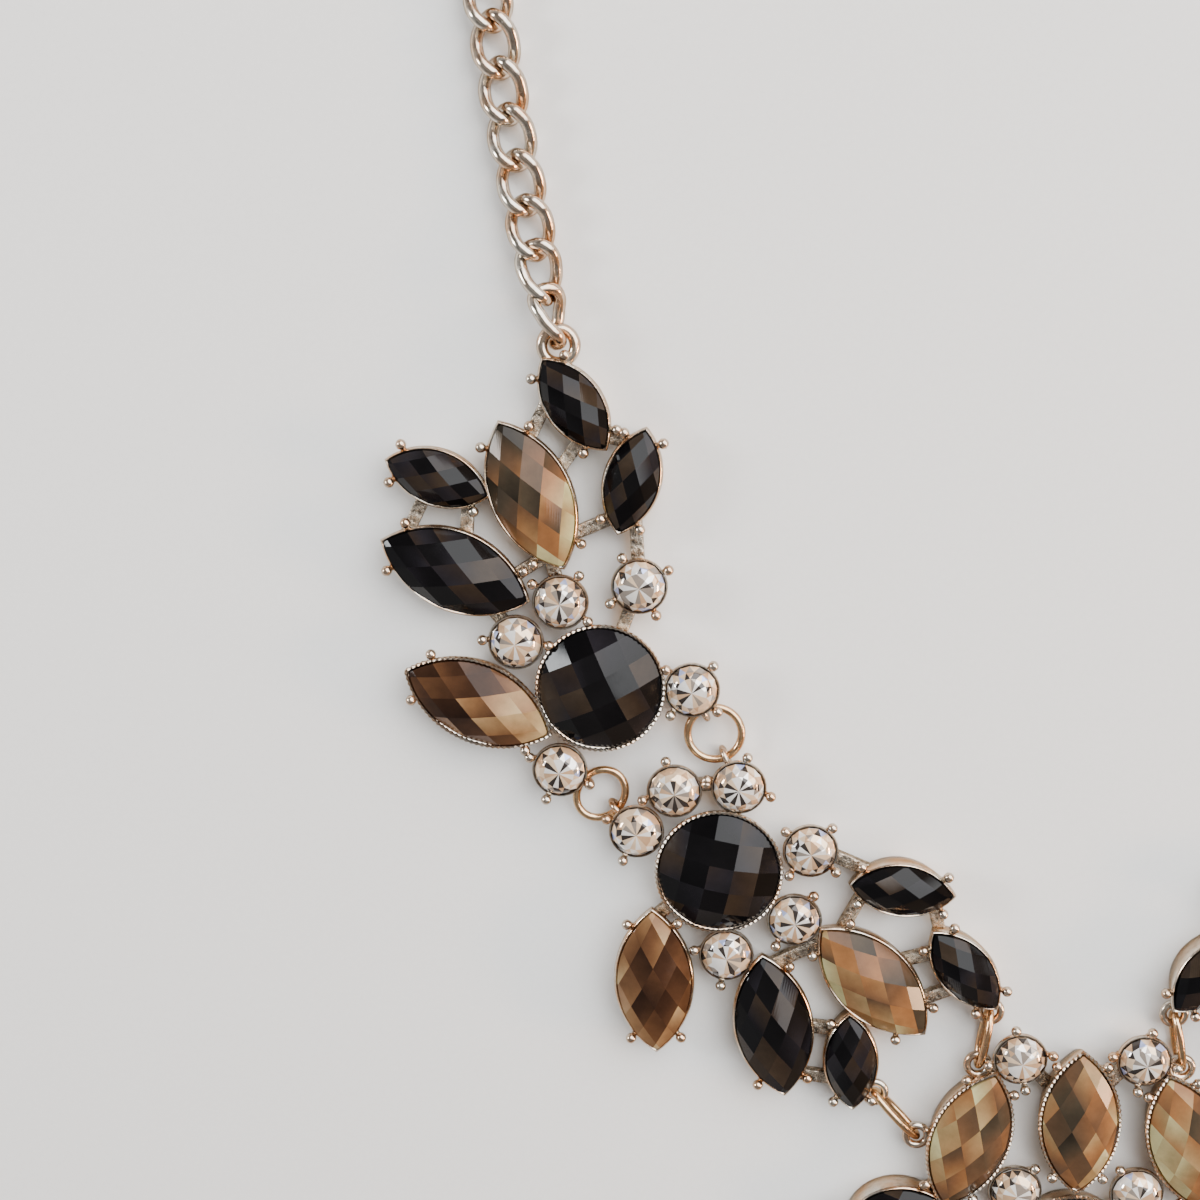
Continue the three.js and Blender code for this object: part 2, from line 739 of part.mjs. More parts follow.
const eyeInWorld = shoulderPlace.clone().add(chainEyeCentre);
const linkStart = eyeInWorld.clone().add(heading(chainHeading, eyeSlack));
const claspHole = (claspLength - claspWidth) / 2;
const chainBody = toGeometry(joined(chainLinks(linkStart, -claspHole - eyeSlack)));
const chainPath = chainRoute(linkStart, -claspHole - eyeSlack);

addCluster("centre", "centre", centre, centreFrame, new THREE.Vector2(), 1);
const hungClusters = [
  ["side", side, sideFrame, sidePlace],
  ["shoulder", shoulder, shoulderFrame, shoulderPlace],
];
for (const [name, flip] of [["left", 1], ["right", -1]]) {
  for (const [family, stones, frame, place] of hungClusters) {
    const spot = new THREE.Vector2(flip * place.x, place.y);
    addCluster(`${name}_${family}`, family, stones, onSide(frame, flip), spot, flip);
  }
  for (const [ringName, body] of Object.entries(ringBodies)) {
    addMesh(necklace, `${name}_${ringName}`, onSide(body, flip), ringMetal);
  }
  addMesh(necklace, `${name}_chain`, onSide(chainBody, flip), metal);
}
const clasp = addMesh(necklace, "clasp", claspBody(), metal);
clasp.position.set(0, chainPath.at(chainPath.length).place.y, chainEyeHeight - claspThickness / 2);

export default necklace;
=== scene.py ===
"""The looks of a bib necklace that lies flat: cast clusters of set stones on a curb chain.

Every size is in millimetres until a mesh is written, which turns it into metres. The left half of
the necklace is worked out, and the right half is its mirror image.
"""

import logging
import math
from dataclasses import dataclass, field, replace
from enum import Enum
from typing import Callable, Iterable, Optional, Sequence, Union

import bpy
import numpy as np
from mathutils import Matrix, Vector

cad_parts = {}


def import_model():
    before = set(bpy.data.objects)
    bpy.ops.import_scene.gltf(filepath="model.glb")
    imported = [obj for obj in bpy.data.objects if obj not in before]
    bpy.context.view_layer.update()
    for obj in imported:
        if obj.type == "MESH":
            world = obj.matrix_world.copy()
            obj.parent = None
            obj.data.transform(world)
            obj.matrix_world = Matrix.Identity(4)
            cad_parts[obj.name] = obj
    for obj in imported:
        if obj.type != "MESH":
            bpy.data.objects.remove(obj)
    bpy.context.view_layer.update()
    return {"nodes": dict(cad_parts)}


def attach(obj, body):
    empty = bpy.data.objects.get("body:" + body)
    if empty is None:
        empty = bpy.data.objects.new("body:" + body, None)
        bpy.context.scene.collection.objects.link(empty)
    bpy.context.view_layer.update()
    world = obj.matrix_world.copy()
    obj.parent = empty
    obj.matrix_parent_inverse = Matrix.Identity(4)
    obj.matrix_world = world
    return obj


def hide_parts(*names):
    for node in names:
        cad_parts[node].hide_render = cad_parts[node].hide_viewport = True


LOG = logging.getLogger("necklace")
MILLIMETRE = 0.001
DEGREE = math.pi / 180
TINY = 1e-6
COLOUR_ATTRIBUTE = "facet_colour"
CRISP_ANGLE = 40
RIM_HEIGHT = 3.2
# How far the seeds of two clusters' stones and chatons lie apart, and those of the two halves.
STONE_SEEDS = 1000
CHATON_SEEDS = 100
MIRRORED_SEED = 500
SIDES = ("left", "right")
Colour = tuple[float, float, float]
Point = tuple[float, float, float]
Range = tuple[float, float]


# Surfaces and meshes


def full_turn(count: int) -> np.ndarray:
    """Return angles spaced evenly round a full turn, from 0, in radians."""
    return np.linspace(0, 2 * math.pi, count, endpoint=False)


def heading(angle: float, length: float = 1.0) -> np.ndarray:
    """Return the flat vector of that length at an angle in degrees."""
    return np.array([math.cos(angle * DEGREE), math.sin(angle * DEGREE)]) * length


def turning(angle: float) -> np.ndarray:
    """Return the matrix that turns rows of x, y counter-clockwise by an angle in degrees."""
    cos, sin = math.cos(angle * DEGREE), math.sin(angle * DEGREE)
    return np.array([[cos, sin], [-sin, cos]])


def raised(flat: np.ndarray, height: Union[float, np.ndarray]) -> np.ndarray:
    """Give flat points a height, one for all or one for each."""
    return np.column_stack([flat, np.broadcast_to(height, len(flat))])


def triangles(a: np.ndarray, b: np.ndarray, c: Union[int, np.ndarray]) -> np.ndarray:
    """Return a face for each three point numbers, with the third one repeated."""
    return np.stack(np.broadcast_arrays(a, b, c, c), axis=1)


@dataclass
class Shell:
    """A closed surface, before it is written into a mesh.

    A face has four corners, and a triangle repeats its third one. Colours are given for each
    face, or for each corner of each face.
    """

    points: np.ndarray
    faces: np.ndarray
    slot: int = 0
    smooth: bool = True
    colours: Optional[np.ndarray] = None

    def outward(self) -> "Shell":
        """Turn the faces outwards, which the sign of the volume tells.

        Returns:
            The same shell.
        """
        a, b, c, d = (self.points[self.faces[:, k]] for k in range(4))
        volume = np.einsum("ij,ij->", a, np.cross(b, c)) + np.einsum("ij,ij->", a, np.cross(c, d))
        if volume < 0:
            turned = self.faces[:, [0, 3, 2, 1]]
            is_triangle = self.faces[:, 2] == self.faces[:, 3]
            turned[is_triangle] = self.faces[is_triangle][:, [0, 2, 1, 1]]
            self.faces = turned
        return self

    def mirrored(self) -> "Shell":
        """Return the mirror image of the shell in the plane x = 0, facing outwards."""
        return replace(self, points=self.points * (-1, 1, 1), faces=self.faces.copy()).outward()

    def placed(self, lean: float, place: np.ndarray) -> "Shell":
        """Turn the shell about its own upright axis and carry it to its place.

        Args:
            lean: The turn in degrees.
            place: Where its middle goes, x and y.

        Returns:
            The same shell.
        """
        self.points = raised(self.points[:, :2] @ turning(lean) + place, self.points[:, 2])
        return self


def grid_faces(rows: int, columns: int, wrap_rows: bool, wrap_columns: bool) -> np.ndarray:
    """List the faces between the points of a grid that is stored row by row.

    Args:
        rows: How many rows of points there are.
        columns: How many points each row has.
        wrap_rows: Whether the last row joins the first.
        wrap_columns: Whether each row is a closed loop.

    Returns:
        One row of four point numbers for each face.
    """
    row = np.arange(rows if wrap_rows else rows - 1)[:, None]
    column = np.arange(columns if wrap_columns else columns - 1)[None, :]
    after_row = (row + 1) % rows
    after_column = (column + 1) % columns
    corners = [row * columns + column, row * columns + after_column]
    corners += [after_row * columns + after_column, after_row * columns + column]
    return np.stack([np.broadcast_to(c, (row.size, column.size)).ravel() for c in corners], axis=1)


def stacked(rings: np.ndarray, first: Sequence[float], last: Sequence[float], **details: object) -> Shell:
    """Join rings of points into a closed body, with a fan of triangles to a point at each end.

    Args:
        rings: Points as (ring, place on the ring, coordinate).
        first: The point that closes the first ring.
        last: The point that closes the last ring.
        **details: The slot and smoothness of the shell, where they aren't the usual ones.

    Returns:
        The body.
    """
    count, size = rings.shape[:2]
    points = np.vstack([rings.reshape(-1, 3), first, last])
    here = np.arange(size)
    after = np.roll(here, -1)
    end = (count - 1) * size
    first_fan = triangles(np.full(size, count * size), after, here)
    last_fan = triangles(end + here, end + after, count * size + 1)
    faces = np.vstack([grid_faces(count, size, False, True), first_fan, last_fan])
    return Shell(points, faces, **details).outward()


def wire_loop(path: np.ndarray, radius: float, sides: int, slot: int = 0) -> Shell:
    """Carry a circle along a closed line: point + r (cos a inward + sin a across).

    Inward is the direction to the middle of the loop, square to the line, and across is square
    to both.

    Args:
        path: The middle line, one point a row.
        radius: The radius of the wire.
        sides: How many points go round the wire.
        slot: The finish that the wire takes.

    Returns:
        The ring of wire.
    """
    along = np.roll(path, -1, axis=0) - np.roll(path, 1, axis=0)
    along /= np.linalg.norm(along, axis=1, keepdims=True)
    inward = path.mean(axis=0) - path
    inward -= along * np.sum(inward * along, axis=1, keepdims=True)
    inward /= np.linalg.norm(inward, axis=1, keepdims=True)
    across = np.cross(along, inward)
    turn = full_turn(sides)[None, :, None]
    rings = path[:, None] + radius * (np.cos(turn) * inward[:, None] + np.sin(turn) * across[:, None])
    faces = grid_faces(len(path), sides, True, True)
    return Shell(rings.reshape(-1, 3), faces, slot).outward()


def evenly(path: np.ndarray, count: int) -> np.ndarray:
    """Space points evenly along a closed line.

    Args:
        path: A dense closed line, one point a row.
        count: How many points to return.

    Returns:
        The points at equal lengths along it.
    """
    closed = np.vstack([path, path[:1]])
    lengths = np.concatenate([[0], np.cumsum(np.linalg.norm(np.diff(closed, axis=0), axis=1))])
    wanted = np.linspace(0, lengths[-1], count, endpoint=False)
    return np.stack([np.interp(wanted, lengths, closed[:, k]) for k in range(closed.shape[1])], axis=1)


def write_mesh(name: str, shells: Sequence[Shell], finishes: Sequence[bpy.types.Material]) -> bpy.types.Mesh:
    """Write shells into one mesh, in metres, with the colour that each corner carries.

    Args:
        name: The name of the mesh.
        shells: The closed surfaces, in millimetres.
        finishes: The materials that the shells' slots number.

    Returns:
        The mesh.
    """
    starts = np.cumsum([0] + [len(shell.points) for shell in shells])
    points = np.concatenate([shell.points for shell in shells]) * MILLIMETRE
    faces = np.concatenate([shell.faces + start for shell, start in zip(shells, starts)])
    keep = np.ones(faces.shape, bool)
    keep[:, 3] = faces[:, 2] != faces[:, 3]
    sizes = keep.sum(axis=1)
    corners = faces[keep]
    mesh = bpy.data.meshes.new(name)
    mesh.vertices.add(len(points))
    mesh.vertices.foreach_set("co", points.astype(np.float32).ravel())
    mesh.loops.add(len(corners))
    mesh.loops.foreach_set("vertex_index", corners.astype(np.int32))
    mesh.polygons.add(len(faces))
    mesh.polygons.foreach_set("loop_start", (np.cumsum(sizes) - sizes).astype(np.int32))
    counts = [len(shell.faces) for shell in shells]
    mesh.polygons.foreach_set("use_smooth", np.repeat([shell.smooth for shell in shells], counts))
    mesh.polygons.foreach_set("material_index", np.repeat([shell.slot for shell in shells], counts))
    mesh.update(calc_edges=True)
    rgba = np.ones((*faces.shape, 4))
    for shell, start, count in zip(shells, np.cumsum([0] + counts), counts):
        if shell.colours is not None:
            by_corner = shell.colours if shell.colours.ndim == 3 else shell.colours[:, None, :]
            rgba[start : start + count, :, :3] = by_corner
    attribute = mesh.attributes.new(COLOUR_ATTRIBUTE, "FLOAT_COLOR", "CORNER")
    attribute.data.foreach_set("color", rgba[keep].astype(np.float32).ravel())
    for finish in finishes:
        mesh.materials.append(finish)
    return mesh


def apart(shells: Sequence[Shell]) -> list[list[Shell]]:
    """Sort shells into groups in which no two boxes touch.

    Args:
        shells: The closed surfaces.

    Returns:
        The groups, in order.
    """
    groups: list[list[Shell]] = []
    boxes: list[list[np.ndarray]] = []
    for shell in shells:
        box = np.array([shell.points.min(axis=0), -shell.points.max(axis=0)])
        for group, taken in zip(groups, boxes):
            if all((box + other[::-1] > 0).any() for other in taken):
                group.append(shell)
                taken.append(box)
                break
        else:
            groups.append([shell])
            boxes.append([box])
    return groups


def add_object(name: str, data: bpy.types.ID) -> bpy.types.Object:
    """Add an object to the scene.

    Args:
        name: Its name.
        data: Its mesh, camera or light.

    Returns:
        The object.
    """
    thing = bpy.data.objects.new(name, data)
    bpy.context.scene.collection.objects.link(thing)
    return thing


def fused_mesh(name: str, shells: Sequence[Shell], finishes: Sequence[bpy.types.Material]) -> bpy.types.Mesh:
    """Fuse shells that bite into each other into one body, a group at a time.

    Args:
        name: The name of the mesh.
        shells: The closed surfaces, in millimetres.
        finishes: The materials that the shells' slots number.

    Returns:
        The mesh, with the edges between its parts kept crisp.
    """
    first, *others = apart(shells)
    body = add_object(name, write_mesh(name, first, finishes))
    for group in others:
        tool = add_object("tool", write_mesh("tool", group, finishes))
        union = body.modifiers.new("union", "BOOLEAN")
        union.operation, union.solver, union.object = "UNION", "MANIFOLD", tool
        depsgraph = bpy.context.evaluated_depsgraph_get()
        joined = bpy.data.meshes.new_from_object(body.evaluated_get(depsgraph))
        body.modifiers.clear()
        body.data = joined
        bpy.data.objects.remove(tool)
    mesh = body.data
    bpy.data.objects.remove(body)
    mesh.set_sharp_from_angle(angle=CRISP_ANGLE * DEGREE)
    return mesh


def mirrored_mesh(mesh: bpy.types.Mesh) -> bpy.types.Mesh:
    """Mirror a mesh in the plane x = 0.

    Args:
        mesh: The mesh, which stays as it is.

    Returns:
        The mirrored copy, facing outwards.
    """
    copy = mesh.copy()
    places = np.empty(len(copy.vertices) * 3, np.float32)
    copy.vertices.foreach_get("co", places)
    places[::3] *= -1
    copy.vertices.foreach_set("co", places)
    copy.flip_normals()
    copy.update()
    return copy


def add_piece(node: str, mesh: bpy.types.Mesh) -> None:
    """Make the piece that stands for a node of the model, and let it ride.

    Args:
        node: The node that the piece replaces.
        mesh: Its mesh.
    """
    mesh.name = f"{node}_looks"
    piece = add_object(mesh.name, mesh)
    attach(piece, "root")
    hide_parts(node)
    LOG.info("%s: %d faces", node, len(mesh.polygons))


# Shader nodes


@dataclass
class Socket:
    """An output socket that can be used in arithmetic, which adds Math nodes."""

    shader: "Shader"
    output: bpy.types.NodeSocket

    def _math(self, operation: str, first: object, second: object) -> "Socket":
        """Return the result of a Math node on two values."""
        return self.shader.node("ShaderNodeMath", {"operation": operation}, {0: first, 1: second})

    def __add__(self, other: object) -> "Socket":
        """Return self + other."""
        return self._math("ADD", self, other)

    __radd__ = __add__

    def __mul__(self, other: object) -> "Socket":
        """Return self * other."""
        return self._math("MULTIPLY", self, other)

    __rmul__ = __mul__


class Shader:
    """The nodes of a material or a world, added one call at a time."""

    def __init__(self, owner: Union[bpy.types.Material, bpy.types.World]) -> None:
        """Start with no nodes.

        Args:
            owner: The material or world that the nodes belong to.
        """
        owner.use_nodes = True
        self.owner = owner
        self.tree = owner.node_tree
        self.tree.nodes.clear()

    @classmethod
    def named(cls, name: str) -> "Shader":
        """Start a new material of that name."""
        return cls(bpy.data.materials.new(name))

    def node(self, kind: str, settings: dict, inputs: dict, output: Union[int, str] = 0) -> Socket:
        """Add a node, set it up and link or fill its sockets.

        Args:
            kind: The node's type.
            settings: Its properties, and under "stops" the places and colours of a ramp.
            inputs: A value or a socket for each input, by number or name.
            output: Which output to return.

        Returns:
            The output socket.
        """
        node = self.tree.nodes.new(kind)
        stops = settings.get("stops")
        for key, value in settings.items():
            if key != "stops":
                setattr(node, key, value)
        if stops:
            elements = node.color_ramp.elements
            while len(elements) < len(stops):
                elements.new(1.0)
            for element, (place, colour) in zip(elements, stops):
                element.position = place
                element.color = (*colour, 1.0)
        for key, value in inputs.items():
            if isinstance(value, Socket):
                self.tree.links.new(value.output, node.inputs[key])
            else:
                node.inputs[key].default_value = value
        return Socket(self, node.outputs[output])

    def place(self) -> Socket:
        """Return the point's Object coordinates, in metres."""
        return self.node("ShaderNodeTexCoord", {}, {}, "Object")

    def pattern(self, size: float) -> dict:
        """Return the inputs of a texture whose features are about size millimetres across."""
        return {"Vector": self.place(), "Scale": 1 / (size * MILLIMETRE)}

    def noise(self, size: float, detail: float, rough: float = 0.5) -> Socket:
        """Return smooth noise whose features are about size millimetres across."""
        inputs = {**self.pattern(size), "Detail": detail, "Roughness": rough}
        return self.node("ShaderNodeTexNoise", {}, inputs, "Fac")

    def blend(self, share: object, first: object, second: object, way: str = "MIX") -> Socket:
        """Mix two colours.

        Args:
            share: How much of the second there is.
            first: The first colour, as a value or socket.
            second: The second colour.
            way: The blend type.

        Returns:
            The mixed colour.
        """
        settings = {"data_type": "RGBA", "blend_type": way}
        inputs = {"Factor": share, 6: first, 7: second}
        return self.node("ShaderNodeMix", settings, inputs, 2)

    def shaded(self, colour: object, shade: Socket, share: float = 1.0) -> Socket:
        """Return a colour multiplied by a grey shade, by that share."""
        return self.blend(share, colour, self.grey(shade), "MULTIPLY")

    def spread(self, value: Socket, before: Range, after: Range = (0.0, 1.0)) -> Socket:
        """Map a value from one range to another, held at the ends."""
        ends = {"From Min": before[0], "From Max": before[1], "To Min": after[0], "To Max": after[1]}
        return self.node("ShaderNodeMapRange", {"clamp": True}, {"Value": value, **ends})

    def bump(self, height: Socket, depth: float, strength: float) -> Socket:
        """Return normals bent by a height that runs from 0 to 1, depth millimetres deep."""
        inputs = {"Height": height, "Distance": depth * MILLIMETRE, "Strength": strength}
        return self.node("ShaderNodeBump", {}, inputs)

    def grey(self, value: Socket) -> Socket:
        """Turn a number into a grey colour."""
        return self.node("ShaderNodeCombineColor", {}, {0: value, 1: value, 2: value})

    def finish(self, inputs: dict) -> bpy.types.Material:
        """End the material with one principled surface.

        Args:
            inputs: A value or a socket for each input of the surface, by name.

        Returns:
            The material.
        """
        surface = self.node("ShaderNodeBsdfPrincipled", {}, inputs)
        self.close("ShaderNodeOutputMaterial", surface)
        return self.owner

    def close(self, kind: str, surface: Socket) -> None:
        """Link a surface to an output node of that kind."""
        out = self.tree.nodes.new(kind)
        self.tree.links.new(surface.output, out.inputs["Surface"])


@dataclass(frozen=True)
class CastMetal:
    """Polished cast alloy: two tones in cloudy patches, with fine casting grain and scuffs."""

    name: str
    tone: Colour
    warm_tone: Colour
    rim_tint: Colour
    gloss: float = 0.13
    worn: float = 0.3
    patch_size: float = 2.6
    grime_size: float = 0.5
    grime_share: float = 0.6
    scuff_size: float = 0.9
    grain_size: float = 0.22
    grain_depth: float = 0.012

    def material(self) -> bpy.types.Material:
        """Mix the tones by a cloudy noise, darken them by a finer one and bend the normals.

        Returns:
            The material.
        """
        shader = Shader.named(self.name)
        patches = shader.spread(shader.noise(self.patch_size, detail=3.0), (0.38, 0.66))
        grime = shader.spread(shader.noise(self.grime_size, detail=4.0, rough=0.65), (0.3, 0.52), (0.5, 1.0))
        colour = shader.blend(patches, (*self.tone, 1), (*self.warm_tone, 1))
        colour = shader.shaded(colour, grime, self.grime_share)
        scuffs = shader.noise(self.scuff_size, detail=5.0, rough=0.7)
        scuffs = shader.spread(scuffs, (0.45, 0.7), (self.gloss, self.worn))
        grain = shader.noise(self.grain_size, detail=3.0, rough=0.6)
        return shader.finish(
            {
                "Base Color": colour,
                "Metallic": 1.0,
                "Roughness": scuffs,
                "Specular Tint": (*self.rim_tint, 1),
                "Normal": shader.bump(grain, self.grain_depth, 1.0),
            }
        )


@dataclass(frozen=True)
class HammeredMetal:
    """Flat cast bars whose faces keep a rough, dented skin."""

    name: str
    tone: Colour
    rim_tint: Colour
    dent_size: float = 0.5
    dent_share: float = 0.6
    dent_depth: float = 0.16
    pit_size: float = 0.2
    pit_share: float = 0.4

    def material(self) -> bpy.types.Material:
        """Add dents and fine pits into one height, which darkens the tone in the low places as painted shade
        and bends the normals.

        Returns:
            The material.
        """
        shader = Shader.named(self.name)
        inputs = shader.pattern(self.dent_size)
        dents = shader.node("ShaderNodeTexVoronoi", {"feature": "SMOOTH_F1"}, inputs, "Distance")
        pits = shader.noise(self.pit_size, detail=3.0, rough=0.7)
        height = dents * self.dent_share + pits * self.pit_share
        # Painted shade: the tone goes darker where the height is low, in the dents and pits.
        hollow_shade = shader.spread(height, (0.25, 0.55), (0.22, 1.0))
        return shader.finish(
            {
                "Base Color": shader.shaded((*self.tone, 1), hollow_shade),
                "Metallic": 1.0,
                "Roughness": shader.spread(pits, (0.3, 0.7), (0.16, 0.34)),
                "Specular Tint": (*self.rim_tint, 1),
                "Normal": shader.bump(height, self.dent_depth, 1.0),
            }
        )


@dataclass(frozen=True)
class CutStone:
    """Faceted resin or glass: each facet keeps its own tone, the stone's hue with painted light and glints
    in it, under a clear, hard gloss.
    """

    name: str
    foil: float
    coat: float
    bend: float = 1.5
    gloss: float = 0.05
    haze: float = 0.12
    mottle: float = 0.25
    mottle_size: float = 1.2
    smear_size: float = 1.6

    def material(self) -> bpy.types.Material:
        """Read each facet's colour, with its painted light, off the mesh, shade it cloudily and smear the
        gloss.

        Returns:
            The material.
        """
        shader = Shader.named(self.name)
        facet = shader.node("ShaderNodeAttribute", {"attribute_name": COLOUR_ATTRIBUTE}, {}, "Color")
        cloud = shader.noise(self.mottle_size, detail=4.0, rough=0.6)
        cloud = shader.spread(cloud, (0.3, 0.7), (1 - self.mottle, 1.0))
        smears = shader.noise(self.smear_size, detail=5.0, rough=0.7)
        smears = shader.spread(smears, (0.5, 0.75), (self.gloss, self.haze))
        return shader.finish(
            {
                "Base Color": shader.shaded(facet, cloud),
                "Metallic": self.foil,
                "Roughness": smears,
                "IOR": self.bend,
                "Coat Weight": self.coat,
                "Coat Roughness": 0.02,
                "Coat IOR": 1.5,
            }
        )


@dataclass(frozen=True)
class PaperFloor:
    """The plain pale ground that the necklace lies on."""

    name: str
    tone: Colour
    fibre_size: float = 0.6
    fibre_shade: float = 0.97
    dullness: float = 0.75

    def material(self) -> bpy.types.Material:
        """Darken the tone a little where a noise is low.

        Returns:
            The material.
        """
        shader = Shader.named(self.name)
        fibres = shader.noise(self.fibre_size, detail=4.0, rough=0.6)
        shade = shader.spread(fibres, (0.3, 0.7), (self.fibre_shade, 1.0))
        colour = shader.shaded((*self.tone, 1), shade)
        return shader.finish({"Base Color": colour, "Roughness": self.dullness})


# Stones


@dataclass(frozen=True)
class Cut:
    """The size of a stone, whose outline is two arcs that meet at its tips.

    A round stone is the case where both arcs are half circles.
    """

    length: float
    width: float
    crown: float
    cell_length: float
    cell_width: float
    edge_points: int
    prong_share: float = 0.7
    prong_offset: float = 0.92

    def arc(self, offset: float = 0.0) -> tuple[float, float, float]:
        """Return the radius, the drop of the centre and the half angle of the outline's arcs.

        With half sizes h and w, the radius is (h^2 + w^2) / 2w and its centre lies radius - w
        past the long axis. An outline offset outwards has the same centres.

        Args:
            offset: How far outside the stone's edge the outline lies.

        Returns:
            The radius, how far past the long axis the centre lies, and the angle in radians.
        """
        half, side = self.length / 2, self.width / 2
        radius = (half * half + side * side) / (2 * side)
        centre = radius - side
        grown = radius + offset
        return grown, centre, math.acos(min(1.0, centre / grown))

    def edge(self, offset: float, count: int) -> np.ndarray:
        """Space points along the outline, counter-clockwise from the right tip.

        Each is (R sin a, R cos a - c) on the upper arc, and its turned copy on the lower one.

        Args:
            offset: How far outside the stone's edge the outline lies.
            count: How many points there are, a multiple of four.

        Returns:
            The points, x and y.
        """
        radius, centre, sweep = self.arc(offset)
        angle = sweep * (1 - np.arange(count // 2) / (count // 4))
        upper = np.stack([radius * np.sin(angle), radius * np.cos(angle) - centre], axis=1)
        return np.vstack([upper, -upper])

    def edge_point(self, share: float, offset: float) -> np.ndarray:
        """Find the four points of the outline where a stone's prongs may stand.

        Args:
            share: How far each is from the arc's top, as a share of its half angle.
            offset: How far outside the stone's edge they lie.

        Returns:
            The points, one in each quarter, counter-clockwise from the upper right.
        """
        radius, centre, _ = self.arc(offset)
        angle = self.arc()[2] * share
        x, y = radius * math.sin(angle), radius * math.cos(angle) - centre
        return np.array([[x, y], [-x, y], [-x, -y], [x, -y]])

    def reach(self, bearing: float) -> float:
        """Measure the outline from the stone's middle: sqrt(R^2 - c^2 cos^2 b) - c |sin b|.

        Args:
            bearing: The bearing b from the long axis, in degrees.

        Returns:
            The distance.
        """
        radius, centre, _ = self.arc()
        across = abs(math.sin(bearing * DEGREE))
        return math.sqrt(radius**2 - centre**2 * (1 - across**2)) - centre * across

    def holds(self, spots: np.ndarray, offset: float) -> np.ndarray:
        """Say which spots lie inside the outline offset outwards."""
        radius, centre, _ = self.arc(offset)
        return np.hypot(spots[:, 0], np.abs(spots[:, 1]) + centre) < radius


ROUND = Cut(12, 12, 2.5, 2.5, 2.5, 72)
LARGE = Cut(15, 7.5, 2.2, 4.4, 2.4, 72)
SMALL = Cut(10, 5, 1.9, 3.0, 1.75, 56)
CHATON = Cut(5.1, 5.1, 1.1, 0, 0, 32, 0.5, 0.75)


class Gem(Enum):
    """The kinds of stone, with the record's slot of each."""

    JET = "jet_stone"
    SMOKY = "smoky_stone"
    BROWN = "brown_stone"


@dataclass(frozen=True)
class Glow:
    """Painted light in a stone: how light falls through it and glints on its facets, as the tone of a
    facet by where it is.

    The tone is base + along x + across y + rim r^2 + spread times a random number, with x and y
    from -1 to 1 over the stone and r the share of the way to its edge. Along and across make one
    side lighter than the other, rim changes the edge and the random number each facet: all painted
    light, glints and shade. It picks a colour from the palette, dark to light; its hues are the
    stone's own.
    """

    gem: Gem
    base: float = 0.0
    along: float = 0.0
    across: float = 0.0
    rim: float = 0.0
    spread: float = 1.0
    grid_turn: float = 0.0
    slope: float = 0.22


# Each palette runs from the stone's own dark body colour up to lighter tones that are painted light through
# the stone and painted glints on its facets.
PALETTES: dict[Gem, tuple[tuple[float, Colour], ...]] = {
    Gem.JET: (
        (0.0, (0.0018, 0.0016, 0.0018)),
        (0.5, (0.004, 0.0035, 0.004)),
        (0.66, (0.012, 0.0105, 0.013)),
        (0.82, (0.022, 0.014, 0.009)),
        (1.0, (0.036, 0.025, 0.017)),
    ),
    Gem.SMOKY: (
        (0.0, (0.018, 0.014, 0.01)),
        (0.25, (0.052, 0.038, 0.024)),
        (0.45, (0.11, 0.056, 0.029)),
        (0.62, (0.25, 0.108, 0.04)),
        (0.8, (0.3, 0.2, 0.09)),
        (1.0, (0.5, 0.45, 0.22)),
    ),
    Gem.BROWN: (
        (0.0, (0.012, 0.006, 0.004)),
        (0.35, (0.038, 0.017, 0.009)),
        (0.6, (0.1, 0.045, 0.02)),
        (0.8, (0.24, 0.125, 0.054)),
        (1.0, (0.42, 0.3, 0.15)),
    ),
}


def palette_colour(gem: Gem, tone: np.ndarray) -> np.ndarray:
    """Read colours off a palette by straight lines between its stops.

    Args:
        gem: The kind of stone.
        tone: Numbers from 0 to 1, in an array of any shape.

    Returns:
        A colour for each number.
    """
    places = [stop[0] for stop in PALETTES[gem]]
    channels = [np.interp(tone, places, [stop[1][k] for stop in PALETTES[gem]]) for k in range(3)]
    return np.stack(channels, axis=-1)


@dataclass(frozen=True)
class Facets:
    """What the tones of a stone's facets are worked out from."""

    cut: Cut
    glow: Glow
    seed: int
    matrix: np.ndarray


